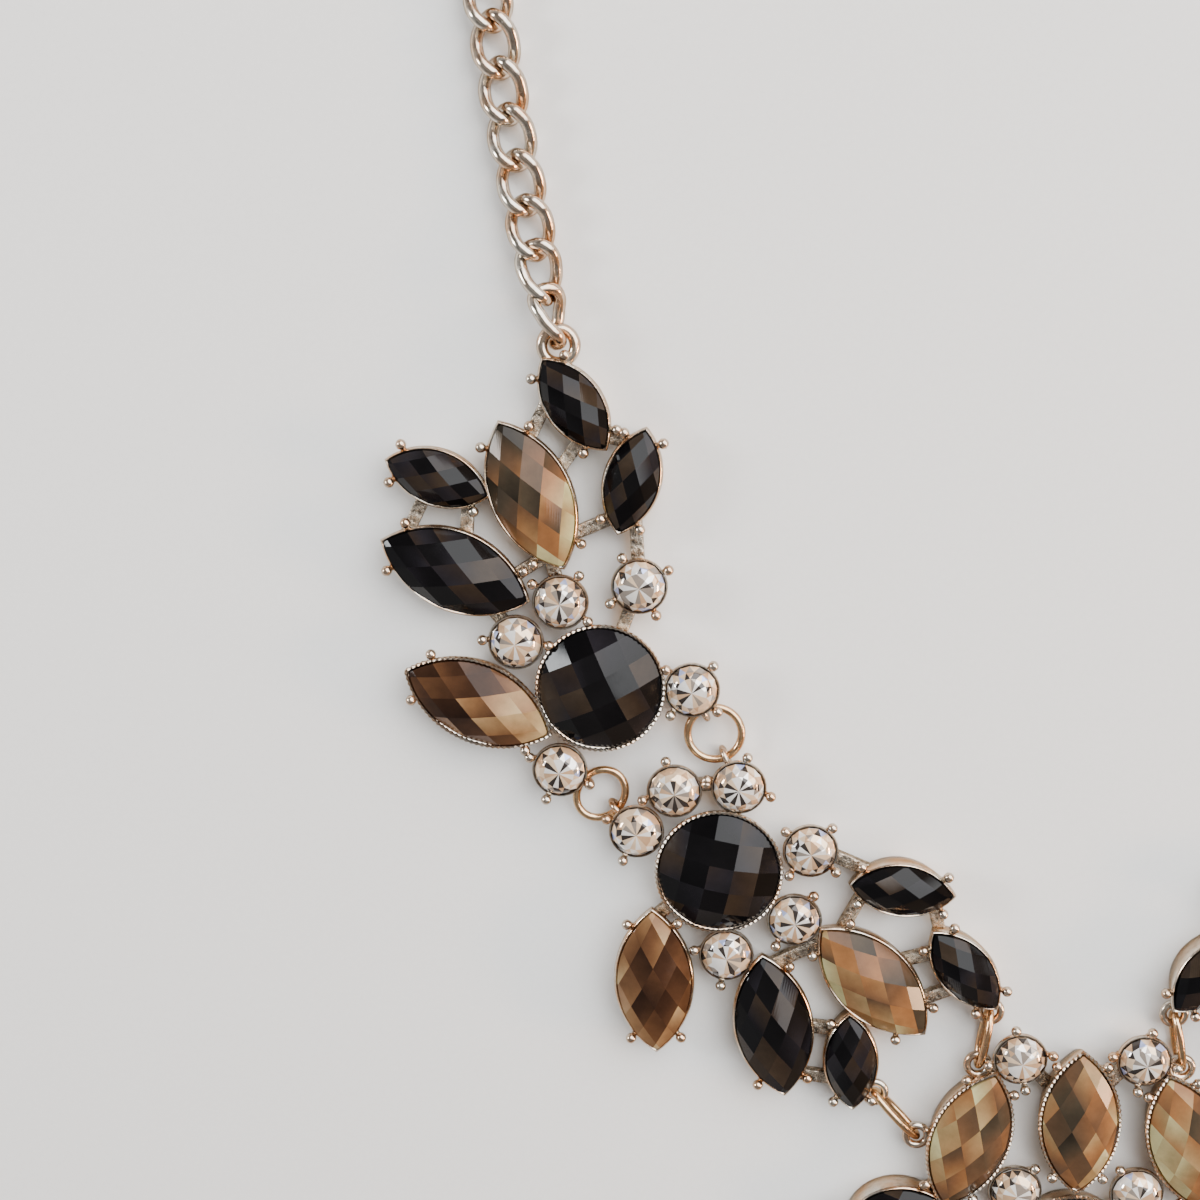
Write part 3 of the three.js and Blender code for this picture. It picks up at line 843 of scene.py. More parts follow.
@dataclass
class StoneMaker:
    """Cuts a stone: a dome of flat facets in a lattice, over a pointed back.

    The colours of its upright edge are read a little inside it, at a share of the way out.
    """

    rim_height: float = RIM_HEIGHT
    seat_height: float = 1.1
    skirt: float = 0.3
    skirt_share: float = 0.3
    lattice_reach: int = 8
    extra_columns: int = 48
    column_gap: float = 0.02
    merge_digits: int = 4
    tone_grid: int = 40
    edge_look: float = 0.98

    def lattice(self, cut: Cut, glow: Glow) -> np.ndarray:
        """Work out the matrix that turns x, y into lattice numbers p, q.

        A round stone has squares, p = x' / s and q = y' / s in turned axes. A marquise has
        rhombi, p = x / a + y / b and q = x / a - y / b, of length a and width b.

        Args:
            cut: The stone's size, with that of its facets.
            glow: The stone's tones, with the turn of a round stone's squares.

        Returns:
            The matrix, for columns of x and y.
        """
        if cut.length == cut.width:
            return turning(glow.grid_turn) / cut.cell_width
        along, across = 1 / cut.cell_length, 1 / cut.cell_width
        return np.array([[along, across], [along, -across]])

    def dome(self, cut: Cut, back: np.ndarray, p: np.ndarray, q: np.ndarray) -> np.ndarray:
        """Work out the height over the rim at lattice numbers p, q.

        The dome is skirt + (crown - skirt)(1 - (x / h)^2 - (y / w)^2), read at the lattice's
        corners, which stand at half numbers, and carried straight between them, so each cell
        is a flat facet.

        Args:
            cut: The stone's size.
            back: The matrix that turns lattice numbers into x and y.
            p: The first lattice numbers.
            q: The second ones, in an array of the same shape.

        Returns:
            The heights, in an array of that shape.
        """

        def smooth(at_p: np.ndarray, at_q: np.ndarray) -> np.ndarray:
            """Work out the height of the round dome.

            Args:
                at_p: The first lattice numbers.
                at_q: The second ones.

            Returns:
                The heights.
            """
            x = back[0, 0] * at_p + back[0, 1] * at_q
            y = back[1, 0] * at_p + back[1, 1] * at_q
            fall = (2 * x / cut.length) ** 2 + (2 * y / cut.width) ** 2
            return self.skirt + (cut.crown - self.skirt) * (1 - fall)

        p0, q0 = np.floor(p - 0.5) + 0.5, np.floor(q - 0.5) + 0.5
        u, v = p - p0, q - q0
        low = smooth(p0, q0) * (1 - u) + smooth(p0 + 1, q0) * u
        high = smooth(p0, q0 + 1) * (1 - u) + smooth(p0 + 1, q0 + 1) * u
        return np.clip(low * (1 - v) + high * v, self.skirt * self.skirt_share, cut.crown)

    def cut_stone(self, cut: Cut, glow: Glow, seed: int) -> Shell:
        """Cut one stone about its own middle.

        The lattice is cut off at the outline: each column of constant p runs between the two
        values of q where it meets the edge, and the lattice's lines of q are held between them.

        Args:
            cut: The stone's size.
            glow: How its facets are toned.
            seed: The seed of the facets' random tones.

        Returns:
            The closed stone.
        """
        matrix = self.lattice(cut, glow)
        back = np.linalg.inv(matrix)
        edge = cut.edge(0.0, 4 * cut.edge_points) @ matrix.T
        first, last = int(np.argmin(edge[:, 0])), int(np.argmax(edge[:, 0]))
        turned = np.roll(edge, -first, axis=0)
        split = (last - first) % len(edge)
        one, other = turned[: split + 1], np.vstack([turned[split:], turned[:1]])[::-1]
        lines = np.arange(-self.lattice_reach, self.lattice_reach + 1) + 0.5
        p_low, p_high = turned[0, 0], turned[split, 0]
        inner = lines[(lines > p_low + TINY) & (lines < p_high - TINY)]
        spaced = p_low + (p_high - p_low) * (1 - np.cos(np.linspace(0, math.pi, self.extra_columns))) / 2
        far = np.abs(spaced[:, None] - inner[None, :]).min(axis=1) > self.column_gap
        columns = np.sort(np.concatenate([spaced[far], inner]))
        ends = np.stack([np.interp(columns, side[:, 0], side[:, 1]) for side in (one, other)])
        low, high = ends.min(axis=0), ends.max(axis=0)
        rows = np.concatenate([[-math.inf], lines, [math.inf]])
        q = np.clip(rows[None, :], low[:, None], high[:, None])
        p = np.broadcast_to(columns[:, None], q.shape)
        flat = np.stack([p, q], axis=-1) @ back.T
        height = self.rim_height + self.dome(cut, back, p, q)
        points = np.concatenate([flat, height[..., None]], axis=-1).reshape(-1, 3)
        faces = grid_faces(len(columns), len(rows), False, False)
        return self.close(Facets(cut, glow, seed, matrix), points, faces)

    def close(self, facets: Facets, points: np.ndarray, faces: np.ndarray) -> Shell:
        """Merge the dome's doubled points, close it below, and colour its facets.

        Args:
            facets: The stone's lattice and tones.
            points: The dome's grid points, many of them doubled at the edge.
            faces: The faces between them.

        Returns:
            The closed stone.
        """
        keys = np.round(points, self.merge_digits)
        _, firsts, numbers = np.unique(keys, axis=0, return_index=True, return_inverse=True)
        points = points[firsts]
        faces = tidy_faces(numbers.ravel()[faces])
        middles = points[faces].mean(axis=1)
        border = border_edges(faces)
        used = np.unique(border)
        lower = raised(points[used, :2], self.rim_height)
        position = np.full(len(points), -1)
        position[used] = np.arange(len(used)) + len(points)
        apex = len(points) + len(used)
        a, b = border[:, 0], border[:, 1]
        skirt = np.stack([b, a, position[a], position[b]], axis=1)
        fan = triangles(position[b], position[a], apex)
        whole = np.vstack([points, lower, [0, 0, self.seat_height]])
        shell = Shell(whole, np.vstack([faces, skirt, fan]), smooth=False).outward()
        edge_middles = (points[a] + points[b]) / 2 * self.edge_look
        spots = np.vstack([middles, edge_middles, edge_middles])
        shell.colours = self.facet_colours(facets, spots, whole[shell.faces])
        return shell

    def facet_colours(self, facets: Facets, spots: np.ndarray, corners: np.ndarray) -> np.ndarray:
        """Work out the colour at each corner of each face: painted light and glints over the stone's own
        hue.

        The tone of a facet slopes across it, in a random direction, as a painted sheen: tone + slope .
        (corner - middle of the facet).

        Args:
            facets: The stone's lattice and tones.
            spots: A point in each face, which tells its facet.
            corners: The four corners of each face.

        Returns:
            A colour for each corner of each face.
        """
        cut, glow = facets.cut, facets.glow
        cells = np.round(spots[:, :2] @ facets.matrix.T).astype(int)
        grid, middle = self.tone_grid, self.tone_grid // 2
        draw = np.random.default_rng(facets.seed).random((grid, grid, 3))
        draw = draw[cells[:, 0] + middle, cells[:, 1] + middle]
        centres = cells @ np.linalg.inv(facets.matrix).T
        x, y = 2 * centres[:, 0] / cut.length, 2 * centres[:, 1] / cut.width
        # Painted light: the glow makes one side, the edge and random facets lighter or darker.
        tone = glow.base + glow.along * x + glow.across * y + glow.rim * (x * x + y * y)
        tone = tone + glow.spread * (draw[:, 0] - 0.5)
        slope = (draw[:, 1:] - 0.5) * glow.slope
        offsets = corners[:, :, :2] - centres[:, None, :]
        tones = tone[:, None] + np.einsum("ik,ijk->ij", slope, offsets)
        return palette_colour(glow.gem, np.clip(tones, 0, 1))


def tidy_faces(faces: np.ndarray) -> np.ndarray:
    """Turn faces with one doubled corner into triangles and drop those with fewer corners.

    Args:
        faces: Four point numbers for each face.

    Returns:
        The faces that are left, a triangle with its third corner repeated.
    """
    order = [np.roll(faces, -shift, axis=1) for shift in range(4)]
    doubled = faces == np.roll(faces, -1, axis=1)
    count = doubled.sum(axis=1)
    result = faces.copy()
    for shift in range(4):
        pick = (count == 1) & doubled[:, shift]
        result[pick] = order[(shift + 1) % 4][pick]
    pick = count == 1
    result[pick, 3] = result[pick, 2]
    crossed = (faces[:, 0] == faces[:, 2]) | (faces[:, 1] == faces[:, 3])
    return result[(count <= 1) & ~crossed]


def border_edges(faces: np.ndarray) -> np.ndarray:
    """Find the directed edges that only one face uses.

    Args:
        faces: Four point numbers for each face.

    Returns:
        Two point numbers for each edge.
    """
    edges = np.vstack([np.stack([faces[:, k], faces[:, (k + 1) % 4]], axis=1) for k in range(4)])
    edges = edges[edges[:, 0] != edges[:, 1]]
    size = faces.max() + 1
    forward = edges[:, 0] * size + edges[:, 1]
    backward = edges[:, 1] * size + edges[:, 0]
    return edges[~np.isin(forward, backward)]


# Clusters


@dataclass(frozen=True)
class Seat:
    """Where a stone lies: beside an earlier one, at a bearing, with a gap between their edges."""

    name: str
    cut: Cut
    beside: Optional[str] = None
    bearing: float = 0.0
    gap: float = 0.0
    lean: float = 0.0
    pair: bool = False


@dataclass
class Setting:
    """A stone's place in its cluster."""

    name: str
    cut: Cut
    lean: float
    place: np.ndarray
    beside: Optional[str] = None
    gap: float = 0.0

    def local(self, spots: np.ndarray) -> np.ndarray:
        """Return flat points of the cluster in the stone's own axes."""
        return (spots - self.place) @ turning(-self.lean)


@dataclass(frozen=True)
class Bar:
    """A flat bar between points on two stones' long axes, as shares of their half lengths."""

    start: str
    at: float
    stop: str
    end: float


def lay_out(seats: Iterable[Seat]) -> dict[str, Setting]:
    """Work out the stones' places from their table.

    A stone's middle lies along the bearing, at the sum of both outlines' reach and the gap. A
    pair is laid out twice, the second time mirrored.

    Args:
        seats: The rows of the table, in order.

    Returns:
        The settings by name.
    """
    settings: dict[str, Setting] = {}

    def add(seat: Seat, name: str, beside: Optional[str], bearing: float, lean: float) -> None:
        """Place one stone beside an earlier one.

        Args:
            seat: Its row of the table.
            name: Its own name.
            beside: The name of the earlier stone, if there is one.
            bearing: The bearing from that stone, in degrees.
            lean: How far its long axis is turned, in degrees.
        """
        place = np.zeros(2)
        if beside:
            other = settings[beside]
            reach = other.cut.reach(bearing - other.lean) + seat.gap + seat.cut.reach(bearing + 180 - lean)
            place = other.place + heading(bearing, reach)
        settings[name] = Setting(name, seat.cut, lean, place, beside, seat.gap)

    for seat in seats:
        if not seat.pair:
            add(seat, seat.name, seat.beside, seat.bearing, seat.lean)
            continue
        for side in SIDES:
            flipped = side == "right"
            beside = seat.beside if seat.beside in settings else f"{side}_{seat.beside}"
            bearing = 180 - seat.bearing if flipped else seat.bearing
            add(seat, f"{side}_{seat.name}", beside, bearing, 180 - seat.lean if flipped else seat.lean)
    return settings


@dataclass(frozen=True)
class Cup:
    """The side of a cup, from its foot over the lip to the pit under the stone.

    Each row is a share of the outline, an offset from the stone's edge, and a height.
    """

    rows: tuple[tuple[float, float, float], ...]
    floor: float
    bead_size: float = 0.0
    bead_radius: float = 0.17
    bead_swell: float = 0.35
    bead_offset: float = 0.3
    bead_height: float = 3.38
    bead_points: int = 4
    bead_sides: int = 6
    rim_points: int = 480

    def shells(self, cut: Cut) -> list[Shell]:
        """Build the cup, and its beaded edge if it has one, about the stone's middle.

        Args:
            cut: The size of the stone that it holds.

        Returns:
            The closed surfaces.
        """
        rings = []
        for share, offset, height in self.rows:
            rings.append(raised(cut.edge(offset, cut.edge_points) * share, height))
        shells = [stacked(np.array(rings), (0, 0, self.rows[0][2]), (0, 0, self.floor))]
        if self.bead_size:
            shells.append(self.beaded_edge(cut))
        return shells

    def beaded_edge(self, cut: Cut) -> Shell:
        """Carry a circle round the rim whose radius is r (1 + s cos(2 pi n t)).

        The swell is s, the number of beads n is the rim's length over the bead size, and t runs
        from 0 to 1.

        Args:
            cut: The size of the stone in the cup.

        Returns:
            The ring of beaded wire.
        """
        dense = cut.edge(self.bead_offset, self.rim_points)
        length = np.linalg.norm(np.roll(dense, -1, axis=0) - dense, axis=1).sum()
        beads = int(round(length / self.bead_size))
        path = raised(evenly(dense, beads * self.bead_points), self.bead_height)
        wire = wire_loop(path, 1.0, self.bead_sides)
        waves = np.cos(2 * math.pi * beads * np.arange(len(path)) / len(path))
        radii = np.repeat(self.bead_radius * (1 + self.bead_swell * waves), self.bead_sides)
        centres = np.repeat(path, self.bead_sides, axis=0)
        wire.points = centres + (wire.points - centres) * radii[:, None]
        return wire


STONE_CUP = Cup(
    rows=(
        (0.8, 0.45, 0.0),
        (0.825, 0.5, 0.12),
        (0.9, 0.52, 1.4),
        (0.985, 0.44, 2.7),
        (1.0, 0.37, 3.02),
        (1.0, 0.3, 3.26),
        (1.0, 0.18, 3.35),
        (1.0, 0.06, 3.28),
        (1.0, 0.04, 3.0),
    ),
    floor=0.75,
)
BEADED_CUP = replace(STONE_CUP, bead_size=0.55)
CHATON_CUP = Cup(
    rows=(
        (0.45, 0.0, 0.0),
        (0.47, 0.05, 0.12),
        (0.7, 0.16, 1.3),
        (0.76, 0.18, 1.85),
        (0.97, 0.26, 2.6),
        (1.0, 0.25, 2.9),
        (1.0, 0.17, 3.1),
        (1.0, 0.06, 3.12),
        (1.0, 0.02, 2.8),
    ),
    floor=0.9,
)


@dataclass(frozen=True)
class Prongs:
    """Posts that lean out of the cup and end in a ball."""

    ball_radius: float = 0.54
    post_radius: float = 0.3
    root_offset: float = -0.1
    root_height: float = 2.3
    ball_height: float = 3.35
    root_flare: float = 1.15
    clearance: float = 0.06
    ball_rings: int = 6
    sides: int = 10

    def shells(self, cut: Cut) -> list[Shell]:
        """Build a stone's four prongs about its middle, in the order of Cut.edge_point.

        Each is a profile turned about its own slanting line from root to ball: the post's
        radius first, then r sin a from where the post meets the ball to the ball's top.

        Args:
            cut: The stone's size.

        Returns:
            The four prongs.
        """
        roots = raised(cut.edge_point(cut.prong_share, self.root_offset), self.root_height)
        balls = raised(cut.edge_point(cut.prong_share, cut.prong_offset), self.ball_height)
        shells = []
        meet = math.asin(self.post_radius / self.ball_radius)
        angles = np.linspace(math.pi - meet, 0, self.ball_rings + 1)[:-1]
        for root, ball in zip(roots, balls):
            line = ball - root
            length = np.linalg.norm(line)
            line /= length
            across = np.cross(line, [0, 0, 1.0])
            across /= np.linalg.norm(across)
            third = np.cross(line, across)
            along = np.concatenate([[0.0], length + self.ball_radius * np.cos(angles)])
            radii = np.concatenate([[self.post_radius * self.root_flare], self.ball_radius * np.sin(angles)])
            turn = full_turn(self.sides)[:, None]
            circle = np.cos(turn) * across + np.sin(turn) * third
            rings = root + along[:, None, None] * line + radii[:, None, None] * circle
            shells.append(stacked(rings, root, ball + line * self.ball_radius))
        return shells


# The chatons' facet tones, painted reflections and highlights in the clear glass: each tone with its
# share of all of them, and of the table's bright and dark wedges.
CHATON_REFLECTIONS = (
    ((0.92, 0.88, 0.83), 0.2, 0.5, 0.2),
    ((0.82, 0.6, 0.4), 0.26, 0.28, 0.1),
    ((0.6, 0.38, 0.22), 0.2, 0.12, 0.2),
    ((0.3, 0.25, 0.21), 0.12, 0.1, 0.25),
    ((0.04, 0.032, 0.028), 0.18, 0.0, 0.25),
    ((0.42, 0.48, 0.75), 0.04, 0.0, 0.0),
)


@dataclass(frozen=True)
class Brilliant:
    """A clear foiled chaton: a table, star facets, kites and a ring of small triangles, with painted
    reflections and highlights on its facets.
    """

    table_share: float = 0.6
    mid_share: float = 0.82
    mid_rise: float = 0.62
    foot_share: float = 0.96
    foot_drop: float = 0.2
    girdle_height: float = 3.12
    girdle_thickness: float = 0.12
    apex_height: float = 1.4
    clearance: float = 0.04
    sides: int = 16
    slot: int = 2

    def shell(self, cut: Cut, seed: int) -> Shell:
        """Build one chaton's glass about its middle.

        Rings of 16 points stand below the girdle, at its two edges, at the middle and at the
        table. The middle one is turned half a step, which gives the kites and triangles, and
        the table is a fan of 16, as the back facets show through.

        Args:
            cut: The chaton's size.
            seed: The seed of its facets' tones.

        Returns:
            The closed glass.
        """
        radius, top, low = cut.width / 2 - self.clearance, RIM_HEIGHT + cut.crown, self.girdle_height
        levels = (
            (self.foot_share, low - self.foot_drop, 0.0),
            (1.0, low, 0.0),
            (1.0, low + self.girdle_thickness, 0.0),
            (self.mid_share, low + (top - low) * self.mid_rise, 0.5),
            (self.table_share, top, 0.0),
        )
        here = np.arange(self.sides)
        after, before = np.roll(here, -1), np.roll(here, 1)
        rings = []
        for share, height, shift in levels:
            angle = (here + shift) * (2 * math.pi / self.sides)
            rings.append(raised(radius * share * np.column_stack([np.cos(angle), np.sin(angle)]), height))
        points = np.vstack([*rings, [0, 0, self.apex_height], [0, 0, top]])
        apex, peak = len(points) - 2, len(points) - 1
        girdle, middle, table = (here + ring * self.sides for ring in (2, 3, 4))
        faces = [
            grid_faces(3, self.sides, False, True),
            triangles(girdle, girdle[after], middle),
            triangles(girdle, middle, middle[before]),
            triangles(middle, table[after], table),
            triangles(middle[before], middle, table),
            triangles(table, table[after], peak),
            triangles(np.full(self.sides, apex), after, here),
        ]
        shell = Shell(points, np.vstack(faces), self.slot, False)
        # The facets' colours are painted reflections and highlights.
        shell.colours = self.tones(len(shell.faces), np.random.default_rng(seed))
        return shell.outward()

    def tones(self, count: int, random: np.random.Generator) -> np.ndarray:
        """Pick a painted reflection for each facet: white, peach, tan, grey, dark or blue.

        The table's fan is the second last ring of faces, and every second wedge of it leans to the
        dark tones, so its wedges take turns between painted highlight and painted shade.

        Args:
            count: How many facets there are.
            random: Where the picks are drawn from.

        Returns:
            A colour for each facet.
        """
        colours, facets, bright, dark = zip(*CHATON_REFLECTIONS)
        picks = random.choice(len(colours), count, p=facets)
        fan = picks[-2 * self.sides : -self.sides]
        # Every second wedge of the table gets a painted highlight, the others painted shade.
        fan[::2] = random.choice(len(colours), self.sides // 2, p=bright)
        fan[1::2] = random.choice(len(colours), self.sides // 2, p=dark)
        return np.array(colours)[picks]


@dataclass
class Cluster:
    """A soldered cast frame with its set stones, worked out about its round stone."""

    name: str
    seats: tuple[Seat, ...]
    bars: tuple[Bar, ...]
    glows: dict[str, Glow]
    beaded: tuple[str, ...]
    seed: int
    place: np.ndarray = field(default_factory=lambda: np.zeros(2))
    bar_width: float = 1.3
    bar_top: float = 1.62
    bar_bottom: float = 0.55
    wall: float = 0.5
    stone_gap: float = 0.2
    rim_overlap: float = 0.2
    root_depth: float = 0.9
    chaton_root_depth: float = 1.7
    root_steps: int = 400
    bar_chamfer: float = 0.15
    bar_rounding: tuple[tuple[float, float], ...] = ((0.0, 0.12), (0.04, 0.035), (0.14, 0.0))

    def __post_init__(self) -> None:
        """Work out the settings from the table."""
        self.settings = lay_out(self.seats)

    def edge_place(self, on: str, bearing: float, distance: float) -> np.ndarray:
        """Return the point that lies a distance outside a stone's edge, at a bearing."""
        setting = self.settings[on]
        return setting.place + heading(bearing, setting.cut.reach(bearing - setting.lean) + distance)

    def axis_point(self, name: str, share: float) -> np.ndarray:
        """Return a point on a stone's long axis."""
        setting = self.settings[name]
        return setting.place + heading(setting.lean, share * setting.cut.length / 2)

    def root(self, name: str, start: np.ndarray, stop: np.ndarray) -> np.ndarray:
        """Find where a line that starts in a stone comes out of its cup's root.

        Args:
            name: The stone.
            start: Where the line starts, x and y.
            stop: Where it ends.

        Returns:
            The place, x and y.
        """
        setting = self.settings[name]
        depth = self.chaton_root_depth if setting.cut is CHATON else self.root_depth
        spots = start + np.linspace(0, 1, self.root_steps)[:, None] * (stop - start)
        return spots[int(np.argmax(~setting.cut.holds(setting.local(spots), -depth)))]

    def all_bars(self) -> list[Bar]:
        """Add a bar from each stone to the one it lies beside, unless their cups touch.

        Returns:
            The listed bars, and the added ones.
        """
        joined = {frozenset((bar.start, bar.stop)) for bar in self.bars}
        bars = list(self.bars)
        for setting in self.settings.values():
            if not setting.beside or frozenset((setting.name, setting.beside)) in joined:
                continue
            walls = sum(
                self.wall + (0 if cut is CHATON else self.stone_gap)
                for cut in (setting.cut, self.settings[setting.beside].cut)
            )
            if setting.gap >= walls - self.rim_overlap:
                bars.append(Bar(setting.name, 0, setting.beside, 0))
        return bars

    def bar_shell(self, bar: Bar) -> Shell:
        """Carry a flat section with rounded corners from one cup to the other.

        Args:
            bar: The bar.

        Returns:
            Its surface.
        """
        start, stop = self.axis_point(bar.start, bar.at), self.axis_point(bar.stop, bar.end)
        first, last = self.root(bar.start, start, stop), self.root(bar.stop, stop, start)
        line = (last - first) / np.linalg.norm(last - first)
        across = np.array([-line[1], line[0]])
        half, top, low = self.bar_width / 2, self.bar_top, self.bar_bottom
        right = [(half - self.bar_chamfer, low), (half, low + self.bar_chamfer)]
        right += [(half - inset, top - drop) for inset, drop in self.bar_rounding]
        left = [(-x, z) for x, z in reversed(right)]
        profile = np.roll(np.array(right + left), 2, axis=0)
        rings = np.array([raised(end + profile[:, :1] * across, profile[:, 1]) for end in (first, last)])
        return stacked(rings, rings[0].mean(axis=0), rings[1].mean(axis=0), slot=1, smooth=False)

    def clear_prongs(self, setting: Setting, prongs: Prongs) -> list[Shell]:
        """Build a stone's prongs, without those whose ball would lie over another stone.

        Args:
            setting: The stone's place.
            prongs: The prongs' sizes.

        Returns:
            The prongs that are left, about the stone's middle.
        """
        balls = setting.cut.edge_point(setting.cut.prong_share, setting.cut.prong_offset)
        places = balls @ turning(setting.lean) + setting.place
        free = np.ones(len(places), bool)
        for other in self.settings.values():
            if other is not setting:
                free &= ~other.cut.holds(other.local(places), prongs.ball_radius + prongs.clearance)
        return [shell for shell, is_free in zip(prongs.shells(setting.cut), free) if is_free]

    def frame_shells(self) -> list[Shell]:
        """Build the cups, prongs, bars and clear chatons.

        Returns:
            The closed surfaces, about the cluster's middle.
        """
        shells = [self.bar_shell(bar) for bar in self.all_bars()]
        prongs, brilliant = Prongs(), Brilliant()
        for number, setting in enumerate(self.settings.values()):
            cut = setting.cut
            if cut is CHATON:
                parts = CHATON_CUP.shells(cut) + self.clear_prongs(setting, prongs)
                parts.append(brilliant.shell(cut, self.seed * CHATON_SEEDS + number))
            else:
                cup = BEADED_CUP if setting.name in self.beaded else STONE_CUP
                parts = cup.shells(cut) + ([] if cut is ROUND else self.clear_prongs(setting, prongs))
            shells += [part.placed(setting.lean, setting.place) for part in parts]
        return shells

    def stone_shells(self, mirrored_seed: int = 0) -> dict[str, tuple[Glow, Shell]]:
        """Cut the cluster's stones, about the cluster's middle.

        Args:
            mirrored_seed: A number added to the seeds, so the other half isn't a copy.

        Returns:
            Each stone's glow and shell by name.
        """
        maker = StoneMaker()
        stones = {}
        for number, setting in enumerate(self.settings.values()):
            if setting.cut is not CHATON:
                plain = setting.name.replace("left_", "").replace("right_", "")
                # A stone without a listed glow is jet, with painted glints on random facets.
                glow = self.glows.get(plain, Glow(Gem.JET, 0.45, spread=0.95))
                seed = self.seed * STONE_SEEDS + number + mirrored_seed
                shell = maker.cut_stone(setting.cut, glow, seed)
                stones[setting.name] = (glow, shell.placed(setting.lean, setting.place))
        return stones


SHOULDER_SEATS = (
    Seat("round", ROUND),
    Seat("chaton_1", CHATON, "round", 114, 0.9, 10),
    Seat("chaton_2", CHATON, "round", 151, 0.95, 40),
    Seat("chaton_3", CHATON, "round", 69, 2.4, 75),
    Seat("chaton_4", CHATON, "round", -1.5, 0.5, 5),
    Seat("chaton_5", CHATON, "round", -116, 0.95, 20),
    Seat("large_1", LARGE, "chaton_1", 104, 1.7, -67),
    Seat("large_2", LARGE, "chaton_2", 129, 1.4, -23),
    Seat("large_3", LARGE, "round", -173, 1.15, -24.5),
    Seat("small_1", SMALL, "large_2", 99, 2.5, -19.5),
    Seat("small_2", SMALL, "large_1", 64, 2.7, -55.5),
    Seat("small_3", SMALL, "chaton_3", 93.5, 3.9, 74.5),
)
SHOULDER_BARS = (
    Bar("large_1", -0.46, "small_2", -0.58),
    Bar("large_1", 0.12, "small_2", 0.52),
    Bar("large_2", -0.8, "small_1", -0.1),
    Bar("large_2", 0.1, "small_1", 0.6),
    Bar("small_3", -0.7, "large_1", 0.7),
    Bar("small_2", 0.75, "small_3", 0.7),
    Bar("large_2", 0.6, "large_1", 0.8),
)
SIDE_SEATS = (
    Seat("round", ROUND),
    Seat("chaton_1", CHATON, "round", 118, 0.95, 60),
    Seat("chaton_2", CHATON, "round", 77.5, 0.5, 30),
    Seat("chaton_3", CHATON, "round", 153.5, 0.7, 20),
    Seat("chaton_4", CHATON, "round", 13.5, 0.9, 5),
    Seat("chaton_5", CHATON, "round", -34, 0.7, 10),
    Seat("chaton_6", CHATON, "round", -85, 0.5, 35),
    Seat("large_1", LARGE, "round", -119, 2.4, -88.5),
    Seat("large_2", LARGE, "chaton_6", -57.5, 0.9, -81),
    Seat("large_3", LARGE, "chaton_5", -39, 0.95, -46.5),
    Seat("small_1", SMALL, "large_2", -26, 2, -87.5),
    Seat("small_2", SMALL, "chaton_4", -23.5, 3.5, -6.5),
    Seat("small_3", SMALL, "large_3", 8, 2.4, -51),
)
SIDE_BARS = (
    Bar("large_1", -0.8, "round", 0),
    Bar("large_2", -0.75, "large_3", -0.75),
    Bar("large_2", 0.05, "small_1", -0.5),
    Bar("large_2", 0.8, "small_1", 0.6),
    Bar("small_2", -0.6, "large_3", -0.7),
    Bar("large_3", -0.1, "small_3", -0.4),
    Bar("large_3", 0.65, "small_3", 0.45),
    Bar("small_2", 0.6, "small_3", -0.7),
    Bar("chaton_1", 0, "chaton_2", 0),
)
CENTRE_SEATS = (
    Seat("round", ROUND),
    Seat("large_top", LARGE, "round", 90, 1.15, 90),
    Seat("large_low", LARGE, "round", -90, 1.15, 90),
    Seat("chaton_1", CHATON, "round", 133, 0.6, 10, True),
    Seat("chaton_2", CHATON, "round", 172, 0.7, 40, True),
    Seat("chaton_3", CHATON, "round", -125, 0.7, 15, True),
    Seat("chaton_4", CHATON, "large_top", 132.5, 2.1, 55, True),
    Seat("large_1", LARGE, "chaton_1", 130, 0.95, 72, True),
    Seat("large_2", LARGE, "round", -157, 1.1, 20, True),
    Seat("large_3", LARGE, "chaton_3", -120, 0.9, 57, True),
    Seat("small_1", SMALL, "chaton_2", 165, 4.5, 20, True),
)
CENTRE_BARS = tuple(
    Bar(f"{side}_{start}", at, stop if stop == "large_low" else f"{side}_{stop}", end)
    for side in SIDES
    for start, at, stop, end in (
        ("small_1", 0.8, "large_1", -0.8),
        ("large_2", -0.4, "large_3", -0.5),
        ("large_3", 0.2, "large_low", 0.1),
    )
)
# The glows paint light and shade into the stones: a lighter and a darker side or end, and a changed edge.
SHOULDER_GLOWS = {
    "round": Glow(Gem.JET, 0.5, spread=0.9, grid_turn=25),
    "large_1": Glow(Gem.SMOKY, 0.36, along=0.4, across=0.16, rim=0.12, spread=0.4),
    "large_3": Glow(Gem.BROWN, 0.45, along=0.32, across=0.05, rim=0.15, spread=0.55),
}
SIDE_GLOWS = {
    "round": Glow(Gem.JET, 0.5, spread=0.9, grid_turn=-12),
    "large_1": Glow(Gem.BROWN, 0.3, across=-0.18, rim=0.5, spread=0.45),
    "large_3": Glow(Gem.SMOKY, 0.46, along=-0.05, across=-0.36, rim=0.08, spread=0.4),
}
CENTRE_GLOWS = {
    "round": Glow(Gem.JET, 0.5, spread=0.9, grid_turn=8),
    "large_top": Glow(Gem.SMOKY, 0.45, rim=0.2, spread=0.6),
    "large_1": Glow(Gem.SMOKY, 0.5, across=0.3, rim=0.08, spread=0.4),
    "large_2": Glow(Gem.BROWN, 0.4, rim=0.3, spread=0.6),
    "large_3": Glow(Gem.BROWN, 0.4, rim=0.3, spread=0.6),
}


# Eyes, loops, jump rings and chain


